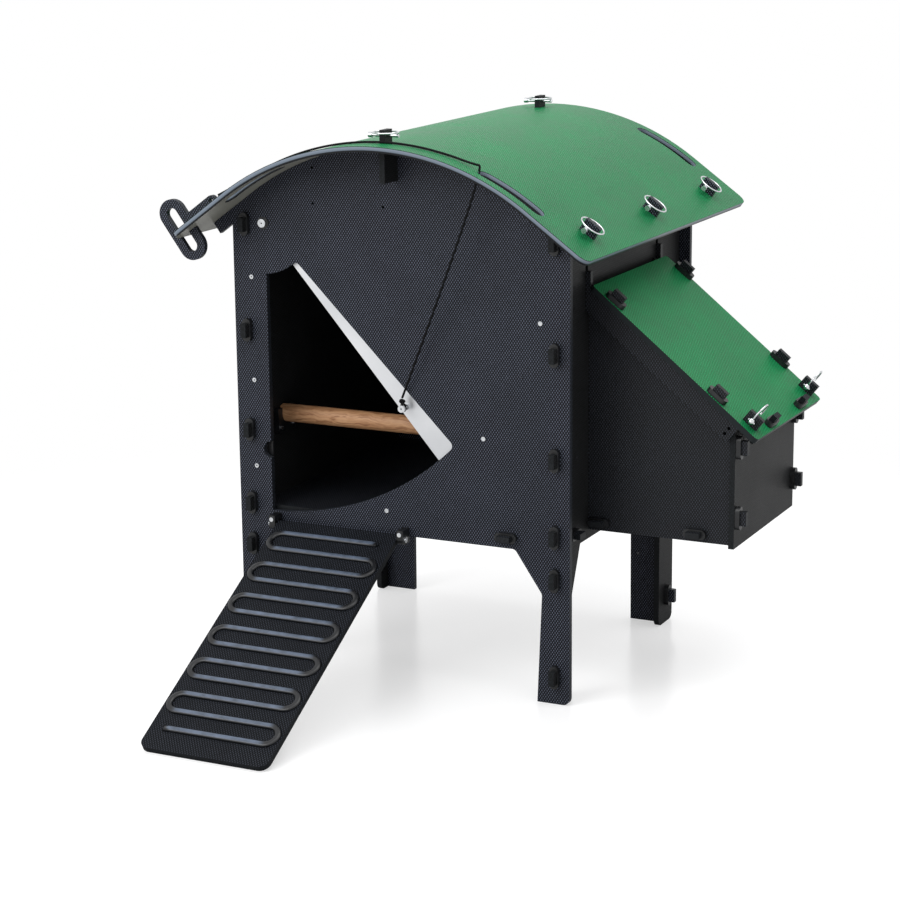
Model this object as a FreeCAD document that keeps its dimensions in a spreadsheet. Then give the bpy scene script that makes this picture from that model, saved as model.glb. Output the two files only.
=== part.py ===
import FreeCAD, Part
import math
import os
import re
import Sketcher

# Raised chicken coop of slotted sheet panels.
# Working frame: X across the front (0 on the centre line), Y from the front face of the
# front panel to the rear, Z up from the ground. Millimetres throughout.

doc = FreeCAD.newDocument("ChickenCoop")
sheet = doc.addObject("Spreadsheet::Sheet", "Sizes")

SIZES = [
    # name, value, what it is
    ("panel_t", 10, "thickness of every sheet panel"),
    ("fit_gap", 0.3, "clearance round a tab in its slot and under the roof sheets"),
    ("house_half", 325, "half width of the front and rear panels"),
    ("house_depth", 580, "front face to rear face"),
    ("side_face", 303.5, "outer face of a side panel from the centre line"),
    ("body_bottom", 271, "lower edge of the front and rear panels between the legs"),
    ("side_bottom", 266, "lower edge of the side panels between the legs"),
    ("leg_top_x", 222, "inner top corner of a front leg"),
    ("leg_knee_x", 273, "inner knee of a front leg"),
    ("leg_knee_z", 196, "height of the knee"),
    ("leg_foot_x", 264, "inner corner of the foot"),
    ("foot_round", 13, "rounding of the outer foot corner"),
    ("leg_round", 10, "rounding of the inner leg corners"),
    ("roof_radius", 491.3, "outer radius of the curved roof"),
    ("roof_centre_z", 476.4, "height of the centre of the roof curve"),
    ("roof_angle", 36, "half angle of the curve and slope of the straight ends"),
    ("roof_half", 395, "half width of the roof at the eaves"),
    ("roof_front", 97, "roof ahead of the front panel"),
    ("roof_rear", 105, "roof behind the rear panel"),
    ("roof_corner", 20, "rounding of the roof corners"),
    ("hand_width", 30, "width of a hand slot"),
    ("hand_inner_x", 195, "centre of the inner round end of a hand slot"),
    ("hand_length", 105, "distance between the end centres of a hand slot"),
    ("hand_edge", 35, "centre line of a hand slot from the end of the roof"),
    ("ear_end_x", 364, "end of the panel ears under the eaves"),
    ("ear_depth", 22, "depth of an ear below the roof"),
    ("eave_tab_x", 347, "centre of the roof tabs on the ears"),
    ("eave_tab_w", 30, "width of a roof tab"),
    ("roof_tab_out", 22, "height of a roof tab above the roof sheet"),
    ("pin_hole_up", 12, "linch pin hole above the sheet"),
    ("pin_hole_r", 3.2, "radius of the linch pin hole"),
    ("rib_depth", 45, "depth of the middle rib"),
    ("rib_inner_x", 285, "where the rib steps up over the side panels"),
    ("rib_notch_z", 822.8, "bottom of the rib notch in the side panels"),
    ("ridge_depth", 58, "depth of the ridge beam"),
    ("ridge_top_drop", 0.4, "ridge beam below the inside of the crown"),
    ("ridge_front", 48, "ridge beam ahead of the front panel"),
    ("ridge_tab_w", 28, "width of a ridge tab"),
    ("ridge_tab_y", 32, "centre of a ridge tab beyond the panel face"),
    ("ridge_lap", 29, "half lap of ridge beam and rib"),
    ("tab_h", 25, "height of a panel tab"),
    ("tab_out", 20, "length of a tab beyond the face"),
    ("tab_z1", 809, "tab centre heights, top to bottom"),
    ("tab_z2", 619, "second tab"),
    ("tab_z3", 437, "third tab"),
    ("tab_z4", 301, "fourth tab"),
    ("tab_z5", 224.6, "fifth tab, front legs"),
    ("tab_z6", 50, "lowest tab, front legs"),
    ("clip_len", 41, "length of a locking clip"),
    ("clip_wid", 17, "width of a locking clip"),
    ("clip_t", 9, "thickness of a locking clip"),
    ("clip_gap", 0.2, "clearance between clip and tab"),
    ("door_pivot_x", 262.6, "door pivot left of the centre line"),
    ("door_pivot_z", 812.3, "height of the door pivot"),
    ("open_inner_r", 90, "inner radius of the doorway"),
    ("open_outer_r", 523, "outer radius of the doorway"),
    ("open_left_x", 259, "straight left edge of the doorway"),
    ("open_angle", 45, "radial edge of the doorway from straight down"),
    ("open_round", 10, "rounding of the doorway corners"),
    ("notch_r", 15, "notch for the lifting screw"),
    ("notch_z", 402, "height of the notch"),
    ("door_t", 2.5, "thickness of the door blade"),
    ("door_gap", 0.5, "door blade behind the panel"),
    ("door_r", 538, "outer radius of the door blade"),
    ("door_lead", 40.8, "angle of the leading edge when open"),
    ("door_trail", 88.5, "angle of the trailing edge when open"),
    ("door_edge", 8, "edges set off from the radial lines"),
    ("door_boss_r", 22, "boss of the blade round the pivot"),
    ("pivot_r", 4, "pivot bolt radius"),
    ("run_gap", 0.1, "radial running clearance of bolts in their holes"),
    ("lift_r", 413, "lifting screw from the pivot"),
    ("lift_angle", 41.5, "angle of the lifting screw when open"),
    ("lift_screw_r", 3, "lifting screw radius"),
    ("guide_t", 3.8, "spacer of the door guides"),
    ("guide_lip_t", 3, "lip of the door guides"),
    ("guide_arc_in", 528, "inner radius of the arc guide lip"),
    ("guide_arc_step", 540, "inner radius of the arc guide spacer"),
    ("guide_arc_out", 562, "outer radius of the arc guide"),
    ("guide_arc_from", 23.8, "start angle of the arc guide"),
    ("guide_arc_to", 80, "end angle of the arc guide"),
    ("guide_screw_r", 552, "arc guide screws from the pivot"),
    ("guide_a1", 25.4, "arc guide screw angles"),
    ("guide_a2", 50.6, "second arc guide screw"),
    ("guide_a3", 75.2, "third arc guide screw"),
    ("guide_left_x", 288.5, "left guide screws"),
    ("guide_z1", 715, "left guide screw heights"),
    ("guide_z2", 528, "second left guide screw"),
    ("guide_z3", 370, "third left guide screw"),
    ("m4_r", 2, "guide screw radius"),
    ("opener_x", 93, "centre of the opener holes left of the centre line"),
    ("opener_z", 883, "height of the centre of the opener holes"),
    ("opener_dx", 138, "spacing of the opener holes across"),
    ("opener_dz", 62, "spacing of the opener holes in height"),
    ("opener_r", 2.5, "radius of the opener holes"),
    ("floor_z", 286, "underside of the floor"),
    ("floor_tab_x", 207, "front and rear floor tabs from the centre line"),
    ("floor_tab_y", 62, "side floor tabs from either end"),
    ("side_leg_w", 50, "width of a side panel leg at the foot"),
    ("side_knee_y", 60, "knee of the side legs"),
    ("side_knee_z", 182, "height of the side knee"),
    ("side_leg_top_y", 97, "top of the side legs"),
    ("rear_leg_y0", 483, "front edge of the rear feet"),
    ("rear_leg_y1", 553, "rear edge of the rear feet"),
    ("rear_leg_top_y", 446, "top of the rear legs"),
    ("leg_frame_y", 513, "front face of the rear leg frame"),
    ("rear_tab_z", 55, "lower tabs of the rear leg frame through the side panels"),
    ("rear_tab_z2", 205, "upper tabs of the rear leg frame"),
    ("nest_y0", 132, "front face of the nest front wall"),
    ("nest_y1", 443, "rear face of the nest rear wall"),
    ("nest_end_x", 565, "inner face of the nest end panel"),
    ("nest_bottom", 283, "lower edge of the nest walls"),
    ("nest_end_bottom", 278, "lower edge of the nest end panel"),
    ("nest_floor_z", 293, "underside of the nest floor"),
    ("nest_tab_x1", 325, "nest floor tabs"),
    ("nest_tab_x2", 504, "second nest floor tab"),
    ("nest_tab_z1", 456, "upper wall tabs through the end panel"),
    ("nest_tab_z2", 332, "lower wall tabs through the end panel"),
    ("nest_in_z1", 600, "upper wall tabs through the side panel"),
    ("nest_in_z2", 345, "lower wall tabs through the side panel"),
    ("nest_open_y0", 160, "nest opening in the side panel, front edge"),
    ("nest_open_y1", 415, "nest opening, rear edge"),
    ("nest_open_z0", 320, "nest opening, lower edge"),
    ("nest_open_z1", 590, "nest opening, upper edge"),
    ("nest_ear_drop", 20, "lower edge of the nest wall ears below the lid top"),
    ("nest_notch_z", 489, "bottom of the ear notches of the end panel"),
    ("lid_x", 320, "upper edge of the lid"),
    ("lid_z", 721.7, "height of the upper edge of the lid"),
    ("lid_angle", 39, "slope of the lid"),
    ("lid_len", 386, "length of the lid down the slope"),
    ("lid_y0", 109, "front edge of the lid"),
    ("lid_y1", 461, "rear edge of the lid"),
    ("lid_corner", 8, "rounding of the lid corners"),
    ("rail_gap", 0.3, "rails beside the nest walls and end panel"),
    ("rail_front_y", 116.7, "front face of the front rail"),
    ("rail_rear_y", 448.3, "front face of the rear rail"),
    ("rail_drop", 45, "lower edge of the rails below the lid top"),
    ("rail_end", 348, "lower end of the rails down the slope"),
    ("rail_tab_1", 45, "upper rail tab down the slope"),
    ("rail_tab_2", 284, "lower rail tab down the slope"),
    ("rail_nose_z", 728, "underside of the rail noses"),
    ("rail_nose_h", 16, "height of the rail noses"),
    ("rail_nose_x", 282, "inner end of the rail noses"),
    ("rail_hook_h", 8, "hook at the end of a rail nose"),
    ("rail_hook_w", 9, "length of the hook"),
    ("lock_tab", 356, "linch tabs of the nest walls down the slope"),
    ("lip_at", 368, "upper face of the lid lip down the slope"),
    ("lip_drop", 35, "lower edge of the lip below the lid top"),
    ("lip_y0", 165, "front end of the lip"),
    ("lip_y1", 405, "rear end of the lip"),
    ("lip_tab_y1", 205, "first lip tab"),
    ("lip_tab_y2", 365, "second lip tab"),
    ("pin_r", 3, "linch pin radius"),
    ("ring_r", 22, "linch ring, centre line radius"),
    ("wire_r", 1.5, "linch ring wire radius"),
    ("ring_up", 16.8, "flat ring above the sheet"),
    ("lid_ring_r", 20, "upright ring, centre line radius"),
    ("lid_ring_up", 26, "centre of the upright ring above the lid"),
    ("ring_sweep", 221, "how far the upright ring goes round"),
    ("ramp_x", -117, "centre of the ramp"),
    ("ramp_w", 244, "width of the ramp"),
    ("ramp_len", 552, "length of the ramp"),
    ("ramp_angle", 29, "slope of the ramp"),
    ("ramp_top_y", -16, "upper edge of the ramp"),
    ("ramp_top_z", 276.6, "height of the upper edge of the ramp"),
    ("ramp_round", 18, "rounding of the ramp corners"),
    ("bar_len", 186, "length of a ramp bar between end centres"),
    ("bar_w", 9, "width of a ramp bar"),
    ("bar_h", 3.5, "height of a ramp bar"),
    ("bar_pitch", 39.5, "distance between bars"),
    ("bar_first", 32, "first bar from the upper edge"),
    ("hinge_r", 3, "ramp hinge pin radius"),
    ("lug_w", 12, "width of a ramp hinge lug"),
    ("perch_r", 16.5, "perch radius"),
    ("perch_y", 104, "perch from the front face"),
    ("perch_z", 447, "height of the perch"),
    ("cradle_half", 32, "half width of a perch cradle"),
    ("cord_d", 4, "diameter of the cord"),
    ("handle_y", -70, "front face of the cord handle"),
    ("handle_w", 52, "width of the handle ring"),
    ("handle_len", 118, "length of the handle ring"),
    ("grip_w", 21, "width of the grip hole"),
    ("grip_len", 87, "length of the grip hole"),
    ("stem_h", 17, "height of the handle stem"),
    ("stem_len", 56, "length of the handle stem"),
    ("origin_x", 97.6, "origin of the part in the working frame"),
    ("origin_y", 93.1, "origin of the part in the working frame"),
    ("origin_z", 0, "origin of the part in the working frame"),
]
CELL = {}
for row, (name, size, note) in enumerate(SIZES, start=1):
    sheet.set("A%d" % row, name)
    sheet.set("B%d" % row, str(size))
    sheet.set("C%d" % row, note)
    sheet.setAlias("B%d" % row, name)
    CELL[name] = "B%d" % row
doc.recompute()

NAME = re.compile(r"[a-z][a-z_0-9]*")
parts = []
cords = []


def full(expression):
    """Expression with every size name pointing at its cell."""
    return NAME.sub(lambda m: "Sizes." + m.group(0) if m.group(0) in CELL else m.group(0), str(expression))


def value(expression):
    return float(sheet.evalExpression(full(expression)))


def vector(x, y, z):
    return FreeCAD.Vector(value(x), value(y), value(z))


def neg(expression):
    return "-(%s)" % expression


# ---- bodies, sketches and features ---------------------------------------------------

def place(obj, base=("0", "0", "0"), axis=None, angle=None):
    """Own placement of a sub-part: base point in the working frame, then the part origin."""
    if axis is not None:
        obj.Placement = FreeCAD.Placement(FreeCAD.Vector(), FreeCAD.Rotation(FreeCAD.Vector(*axis), 1.0))
        obj.setExpression("Placement.Rotation.Angle", full(angle))
    for letter, expression in zip("xyz", base):
        obj.setExpression("Placement.Base." + letter, full("%s - origin_%s" % (expression, letter)))


def new_body(label, **frame):
    body = doc.addObject("PartDesign::Body", label)
    body.Label = label
    body.AllowCompound = True
    place(body, **frame)
    parts.append(body)
    return body


def new_sketch(body, role, at="0", turn=None):
    """Sketch on an origin plane; `at` is the level along the plane's world axis."""
    sketch = body.newObject("Sketcher::SketchObject", body.Name + "_outline")
    plane = [o for o in body.Origin.OriginFeatures if o.Role == role][0]
    sketch.AttachmentSupport = [(plane, "")]
    sketch.MapMode = "FlatFace"
    if turn is None:
        level = neg(at) if role == "XZ_Plane" else at
        sketch.setExpression("AttachmentOffset.Base.z", full(level))
    else:
        base, angle = turn
        sketch.AttachmentOffset = FreeCAD.Placement(FreeCAD.Vector(), FreeCAD.Rotation(FreeCAD.Vector(0, 1, 0), 1.0))
        sketch.setExpression("AttachmentOffset.Rotation.Angle", full(angle))
        for letter, expression in zip("xyz", base):
            sketch.setExpression("AttachmentOffset.Base." + letter, full(expression))
    return sketch


def tie(sketch, wanted):
    """Adds dimensions (geometry, point, 'x' or 'y', expression) and binds them to the sheet."""
    made = [
        Sketcher.Constraint("DistanceX" if way == "x" else "DistanceY", -1, 1, geo, pos, value(expression))
        for geo, pos, way, expression in wanted
    ]
    for index, (geo, pos, way, expression) in zip(sketch.addConstraint(made), wanted):
        sketch.setExpression("Constraints[%d]" % index, full(expression))


def contour(sketch, corners):
    """Closed outline. A corner is (x, y) or (x, y, centre x, centre y, 'ccw' or 'cw'),
    the longer form when the edge leaving it is an arc."""
    first = sketch.GeometryCount
    count = len(corners)
    points = [FreeCAD.Vector(value(c[0]), value(c[1]), 0) for c in corners]
    shapes = []
    start_pos = []
    for k, corner in enumerate(corners):
        here, there = points[k], points[(k + 1) % count]
        if len(corner) == 2:
            shapes.append(Part.LineSegment(here, there))
            start_pos.append(1)
            continue
        centre = FreeCAD.Vector(value(corner[2]), value(corner[3]), 0)
        begin, end = (here, there) if corner[4] == "ccw" else (there, here)
        circle = Part.Circle(centre, FreeCAD.Vector(0, 0, 1), (here - centre).Length)
        low = math.atan2(begin.y - centre.y, begin.x - centre.x)
        high = math.atan2(end.y - centre.y, end.x - centre.x)
        if high <= low:
            high += 2 * math.pi
        shapes.append(Part.ArcOfCircle(circle, low, high))
        start_pos.append(1 if corner[4] == "ccw" else 2)
    sketch.addGeometry(shapes)
    joins = []
    wanted = []
    for k, corner in enumerate(corners):
        geo = first + k
        after = first + (k + 1) % count
        joins.append(Sketcher.Constraint("Coincident", geo, 3 - start_pos[k], after, start_pos[(k + 1) % count]))
        before = corners[k - 1]
        ways = "xy"
        if len(before) > 2:
            across = points[k] - FreeCAD.Vector(value(before[2]), value(before[3]), 0)
            ways = "x" if abs(across.y) > abs(across.x) else "y"
        for way in ways:
            wanted.append((geo, start_pos[k], way, corner["xy".index(way)]))
        if len(corner) > 2:
            wanted.append((geo, 3, "x", corner[2]))
            wanted.append((geo, 3, "y", corner[3]))
    sketch.addConstraint(joins)
    tie(sketch, wanted)


def circle(sketch, x, y, radius):
    geo = sketch.addGeometry(Part.Circle(FreeCAD.Vector(value(x), value(y), 0), FreeCAD.Vector(0, 0, 1), value(radius)))
    tie(sketch, [(geo, 3, "x", x), (geo, 3, "y", y)])
    index = sketch.addConstraint(Sketcher.Constraint("Radius", geo, value(radius)))
    sketch.setExpression("Constraints[%d]" % index, full(radius))


def box(x, y, width, height):
    """Rectangle round a centre."""
    left, right = "%s - (%s) / 2" % (x, width), "%s + (%s) / 2" % (x, width)
    low, high = "%s - (%s) / 2" % (y, height), "%s + (%s) / 2" % (y, height)
    return [(left, low), (right, low), (right, high), (left, high)]


def span(x0, y0, x1, y1):
    """Rectangle between two corners."""
    return [(x0, y0), (x1, y0), (x1, y1), (x0, y1)]


def stadium(x, y, length, width, upright=True):
    """Slot outline round a centre, long axis along y when upright."""
    half = "((%s) - (%s)) / 2" % (length, width)
    r = "(%s) / 2" % width
    if upright:
        low, high = "%s - %s" % (y, half), "%s + %s" % (y, half)
        left, right = "%s - %s" % (x, r), "%s + %s" % (x, r)
        return [(right, low), (right, high, x, high, "ccw"), (left, high), (left, low, x, low, "ccw")]
    low, high = "%s - %s" % (x, half), "%s + %s" % (x, half)
    down, up = "%s - %s" % (y, r), "%s + %s" % (y, r)
    return [(low, down), (high, down, high, y, "ccw"), (high, up), (low, up, low, y, "ccw")]


def pad(body, sketch, length, reverse=False):
    feature = body.newObject("PartDesign::Pad", body.Name + "_pad")
    feature.Profile = sketch
    feature.Reversed = reverse
    feature.setExpression("Length", full(length))
    return feature


def pocket(body, sketch, length, reverse=False):
    feature = body.newObject("PartDesign::Pocket", body.Name + "_cut")
    feature.Profile = sketch
    feature.Reversed = reverse
    feature.setExpression("Length", full(length))
    return feature


def slab(body, role, start, thickness, outlines, circles=()):
    """Pad between two levels along the plane's world axis, any number of outlines."""
    at = "%s + %s" % (start, thickness) if role == "XZ_Plane" else start
    sketch = new_sketch(body, role, at)
    for outline in outlines:
        contour(sketch, outline)
    for x, y, radius in circles:
        circle(sketch, x, y, radius)
    return pad(body, sketch, thickness)


def plate(label, role, start, thickness, outlines, circles=(), **frame):
    body = new_body(label, **frame)
    slab(body, role, start, thickness, outlines, circles)
    return body


def round_edges(body, axis, spots, radius):
    """Rounds the straight edges along `axis` that pass the given spots (other two coordinates)."""
    doc.recompute()
    tip = body.Tip
    keep = [i for i in range(3) if i != axis]
    wanted = [tuple(value(c) for c in spot) for spot in spots]
    names = []
    for number, edge in enumerate(tip.Shape.Edges, start=1):
        if edge.Curve.TypeId != "Part::GeomLine":
            continue
        way = edge.Vertexes[-1].Point - edge.Vertexes[0].Point
        if abs(way[axis]) < 0.99 * way.Length:
            continue
        middle = edge.CenterOfMass
        for spot in wanted:
            if abs(middle[keep[0]] - spot[0]) < 0.5 and abs(middle[keep[1]] - spot[1]) < 0.5:
                names.append("Edge%d" % number)
    if len(names) < len(wanted):
        raise RuntimeError("%s: %d of %d edges found" % (body.Label, len(names), len(wanted)))
    feature = body.newObject("PartDesign::Fillet", body.Name + "_round")
    feature.Base = (tip, names)
    feature.setExpression("Radius", full(radius))
    return feature


def solid(body, kind, base, axis=None, angle="0", **sizes):
    """Additive primitive of a body at a base point, turned about an axis."""
    feature = body.newObject("PartDesign::Additive" + kind, body.Name + "_" + kind.lower())
    feature.MapMode = "Deactivated"
    if axis is not None:
        feature.Placement = FreeCAD.Placement(FreeCAD.Vector(), FreeCAD.Rotation(FreeCAD.Vector(*axis), 1.0))
        feature.setExpression("Placement.Rotation.Angle", full(angle))
    for letter, expression in zip("xyz", base):
        feature.setExpression("Placement.Base." + letter, full(expression))
    for name, expression in sizes.items():
        feature.setExpression(name, full(expression))
    return feature


# ---- shared shapes --------------------------------------------------------------------

UNDER_R = "(roof_radius - panel_t - fit_gap)"
SLOT = "(panel_t + 2 * fit_gap)"
TAB_SLOT = "(tab_h + 2 * fit_gap)"
FRONT_TABS = ["tab_z1", "tab_z2", "tab_z3", "tab_z4", "tab_z5", "tab_z6"]
REAR_TABS = FRONT_TABS[:4]
SIDE_MID = "(side_face - panel_t / 2)"


def under(x):
    """Height of the straight part of the roof's underside, less the gap, at x."""
    return "(roof_centre_z + %s / cos(roof_angle) - (%s) * tan(roof_angle))" % (UNDER_R, x)


def shift(x, z, along, out):
    """Point moved down the right-hand slope by `along` and away from it by `out`."""
    moved_x = "%s + (%s) * cos(roof_angle) + (%s) * sin(roof_angle)" % (x, along, out)
    moved_z = "%s - (%s) * sin(roof_angle) + (%s) * cos(roof_angle)" % (z, along, out)
    return moved_x, moved_z


def mirrored(path):
    """Open path on the right turned into its mirror image on the left, walked backwards."""
    left = []
    for k in range(len(path) - 1, -1, -1):
        point = (neg(path[k][0]), path[k][1])
        arc = path[k - 1][2:] if k > 0 else ()
        left.append(point + ((neg(arc[0]),) + arc[1:] if arc else ()))
    return left


def gable_top(notch_z):
    """Right-hand half of a gable from the wall up: ear, roof tab, curve, ridge notch."""
    line = under("eave_tab_x")
    half = "eave_tab_w / 2"
    rise = "(panel_t + fit_gap + roof_tab_out)"
    end_z = under("ear_end_x")
    path = [shift("ear_end_x", end_z, "0", "-ear_depth"), ("ear_end_x", end_z)]
    path.append(shift("eave_tab_x", line, half, "0"))
    path.append(shift("eave_tab_x", line, half, rise))
    path.append(shift("eave_tab_x", line, neg(half), rise))
    path.append(shift("eave_tab_x", line, neg(half), "0"))
    path.append((UNDER_R + " * sin(roof_angle)", "roof_centre_z + %s * cos(roof_angle)" % UNDER_R,
                 "0", "roof_centre_z", "ccw"))
    notch = "%s / 2" % SLOT
    path.append((notch, "roof_centre_z + sqrt(%s ^ 2 - (%s) ^ 2)" % (UNDER_R, notch)))
    path.append((notch, notch_z))
    return path


def eave_pin_holes():
    """Linch pin holes of the two roof tabs of a gable."""
    x, z = shift("eave_tab_x", under("eave_tab_x"), "0", "panel_t + fit_gap + pin_hole_up")
    return [(x, z, "pin_hole_r"), (neg(x), z, "pin_hole_r")]


def clip(x, y, upright=True):
    """A locking clip: stadium collar and the slot that takes the tab."""
    tab = ("panel_t + 2 * clip_gap", "tab_h + 2 * clip_gap")
    if not upright:
        tab = tab[::-1]
    return [stadium(x, y, "clip_len", "clip_wid", upright), box(x, y, *tab)]


def clips(label, role, start, spots, **frame):
    outlines = []
    for x, y, upright in spots:
        outlines += clip(x, y, upright)
    return plate(label, role, start, "clip_t", outlines, **frame)


PIVOT = ("-door_pivot_x", "door_pivot_z")


def polar(radius, angle, side="0"):
    """Point at a radius and an angle from straight down about the pivot, set off sideways."""
    x = "-door_pivot_x + (%s) * sin(%s) + (%s) * cos(%s)" % (radius, angle, side, angle)
    z = "door_pivot_z - (%s) * cos(%s) + (%s) * sin(%s)" % (radius, angle, side, angle)
    return x, z


GUIDE_SPOTS = [("-guide_left_x", "guide_z%d" % k) for k in (1, 2, 3)]
GUIDE_SPOTS += [polar("guide_screw_r", "guide_a%d" % k) for k in (1, 2, 3)]
LIFT = polar("lift_r", "lift_angle")
RIDGE_BOTTOM = "(roof_centre_z + roof_radius - panel_t - ridge_top_drop - ridge_depth)"
RIDGE_TOP = "(roof_centre_z + roof_radius - panel_t - ridge_top_drop)"

# ---- front and rear panels ------------------------------------------------------------

wall_top = ("house_half", under("house_half") + " - ear_depth / cos(roof_angle)")
front_leg = [
    ("leg_top_x", "body_bottom"), ("leg_knee_x", "leg_knee_z"), ("leg_foot_x", "0"),
    ("house_half", "0"), wall_top,
]
half_gable = gable_top(RIDGE_BOTTOM)
front_path = front_leg + half_gable
front_outline = front_path + mirrored(front_path)

edge_drop = "sqrt(%s ^ 2 - (door_pivot_x - open_left_x) ^ 2)"
radial_out = polar("open_outer_r", "open_angle")
radial_in = polar("open_inner_r", "open_angle")
doorway = [
    ("-open_left_x", "door_pivot_z - " + edge_drop % "open_outer_r") + PIVOT + ("ccw",),
    radial_out,
    radial_in + PIVOT + ("cw",),
    ("-open_left_x", "door_pivot_z - " + edge_drop % "open_inner_r"),
    ("-open_left_x", "notch_z + notch_r", "-open_left_x", "notch_z", "ccw"),
    ("-open_left_x", "notch_z - notch_r"),
]
tab_slots = [box(sign + SIDE_MID, z, SLOT, TAB_SLOT) for sign in ("", "-") for z in FRONT_TABS]
floor_slot = [box("floor_tab_x", "floor_z + panel_t / 2", TAB_SLOT, SLOT)]
opener_holes = [
    ("-opener_x %s opener_dx / 2" % a, "opener_z %s opener_dz / 2" % b, "opener_r")
    for a in "+-" for b in "+-"
]
lug_x = "(ramp_w / 2 + lug_w / 2 + 1)"
RAMP_LUGS = ["ramp_x - " + lug_x, "ramp_x + " + lug_x]
LUG_SCREWS = [(x, "body_bottom + 9") for x in RAMP_LUGS]
screw_holes = [(x, z, "m4_r + run_gap") for x, z in GUIDE_SPOTS + LUG_SCREWS]
front = plate(
    "front_panel", "XZ_Plane", "0", "panel_t",
    [front_outline, doorway] + tab_slots + floor_slot,
    eave_pin_holes() + opener_holes + screw_holes + [PIVOT + ("pivot_r + run_gap",)],
)
round_edges(front, 1, [("house_half", "0"), ("-house_half", "0")], "foot_round")
round_edges(front, 1, [("leg_top_x", "body_bottom"), ("-leg_top_x", "body_bottom"),
                       ("leg_knee_x", "leg_knee_z"), ("-leg_knee_x", "leg_knee_z"), radial_out, radial_in],
            "leg_round")

inner_half = "(side_face - panel_t - fit_gap)"
rear_tabs = []
for z in ("rear_tab_z", "rear_tab_z2"):
    rear_tabs += [
        (inner_half, z + " - tab_h / 2"), ("side_face + tab_out", z + " - tab_h / 2"),
        ("side_face + tab_out", z + " + tab_h / 2"), (inner_half, z + " + tab_h / 2"),
    ]
rear_leg = [
    ("leg_top_x", "floor_z - fit_gap - 50"), ("leg_knee_x - 40", "leg_knee_z"), ("leg_foot_x - 30", "0"), (inner_half, "0"),
] + rear_tabs + [(inner_half, "floor_z - fit_gap")]
rear_path = [("house_half", "body_bottom"), wall_top] + half_gable
rear_slots = [box(sign + SIDE_MID, z, SLOT, TAB_SLOT) for sign in ("", "-") for z in REAR_TABS]
rear_slots += [box(sign + "floor_tab_x", "floor_z + panel_t / 2", TAB_SLOT, SLOT) for sign in ("", "-")]
rear_holes = [(sign + "(leg_foot_x - 16)", "132", "opener_r") for sign in ("", "-")]
rear_start = "(house_depth - panel_t)"
rear = plate(
    "rear_panel", "XZ_Plane", rear_start, "panel_t",
    [rear_path + mirrored(rear_path)] + rear_slots, eave_pin_holes(),
)
plate("rear_leg_frame", "XZ_Plane", "leg_frame_y", "panel_t", [rear_leg + mirrored(rear_leg)], rear_holes)

# ---- side panels ------------------------------------------------------------------------

side_top = under("side_face") + " - 0.2"


def forward_tab(z, face, reach):
    """Tab standing out of a panel edge, walked downwards."""
    return [(face, z + " + tab_h / 2"), (reach, z + " + tab_h / 2"), (reach, z + " - tab_h / 2"),
            (face, z + " - tab_h / 2")]


side_path = [("panel_t", side_top)]
for z in FRONT_TABS:
    side_path += forward_tab(z, "panel_t", "-tab_out")
side_path += [
    ("panel_t", "0"), ("side_leg_w + panel_t", "0"), ("side_knee_y", "side_knee_z"),
    ("side_leg_top_y", "side_bottom"), ("rear_leg_top_y", "side_bottom"),
    ("rear_leg_y0", "side_knee_z"), ("rear_leg_y0", "0"),
    ("rear_leg_y1", "0"), ("rear_leg_y1", "side_knee_z"), (rear_start, "side_bottom"),
]
for z in reversed(REAR_TABS):
    side_path += [(rear_start, z + " - tab_h / 2"), ("house_depth + tab_out", z + " - tab_h / 2"),
                  ("house_depth + tab_out", z + " + tab_h / 2"), (rear_start, z + " + tab_h / 2")]
rib_y = "((house_depth - panel_t) / 2)"
side_path += [
    (rear_start, side_top), (rib_y + " + panel_t + fit_gap", side_top), (rib_y + " + panel_t + fit_gap", "rib_notch_z"),
    (rib_y + " - fit_gap", "rib_notch_z"), (rib_y + " - fit_gap", side_top),
]
rear_leg_slots = [box("leg_frame_y + panel_t / 2", z, SLOT, TAB_SLOT) for z in ("rear_tab_z", "rear_tab_z2")]
floor_side_y = ["floor_tab_y", "house_depth - floor_tab_y"]
side_floor_slots = [box(y, "floor_z + panel_t / 2", TAB_SLOT, SLOT) for y in floor_side_y]
cradle_holes = [("perch_y " + sign + " 24", "perch_z - 24", "m4_r + run_gap") for sign in ("+", "-")]
nest_ys = ["nest_y0 + panel_t / 2", "nest_y1 - panel_t / 2"]
nest_slots = [box(y, z, SLOT, TAB_SLOT) for y in nest_ys for z in ("nest_in_z1", "nest_in_z2")]
nest_slots += [
    span("%s - fit_gap" % y, "rail_nose_z - fit_gap", "%s + panel_t + fit_gap" % y,
         "rail_nose_z + rail_nose_h + rail_hook_h + 1")
    for y in ("rail_front_y", "rail_rear_y")
]
nest_opening = span("nest_open_y0", "nest_open_z0", "nest_open_y1", "nest_open_z1")
side_spots = [
    ("panel_t", "0"), ("side_leg_w + panel_t", "0"), ("rear_leg_y0", "0"), ("rear_leg_y1", "0"),
]
for label, start, extra in (
    ("left_side_panel", "-side_face", []),
    ("right_side_panel", "side_face - panel_t", nest_slots + [nest_opening]),
):
    side = plate(label, "YZ_Plane", start, "panel_t",
                 [side_path] + rear_leg_slots + side_floor_slots + extra, cradle_holes)
    round_edges(side, 0, side_spots, "foot_round")

# ---- floor ------------------------------------------------------------------------------

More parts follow.
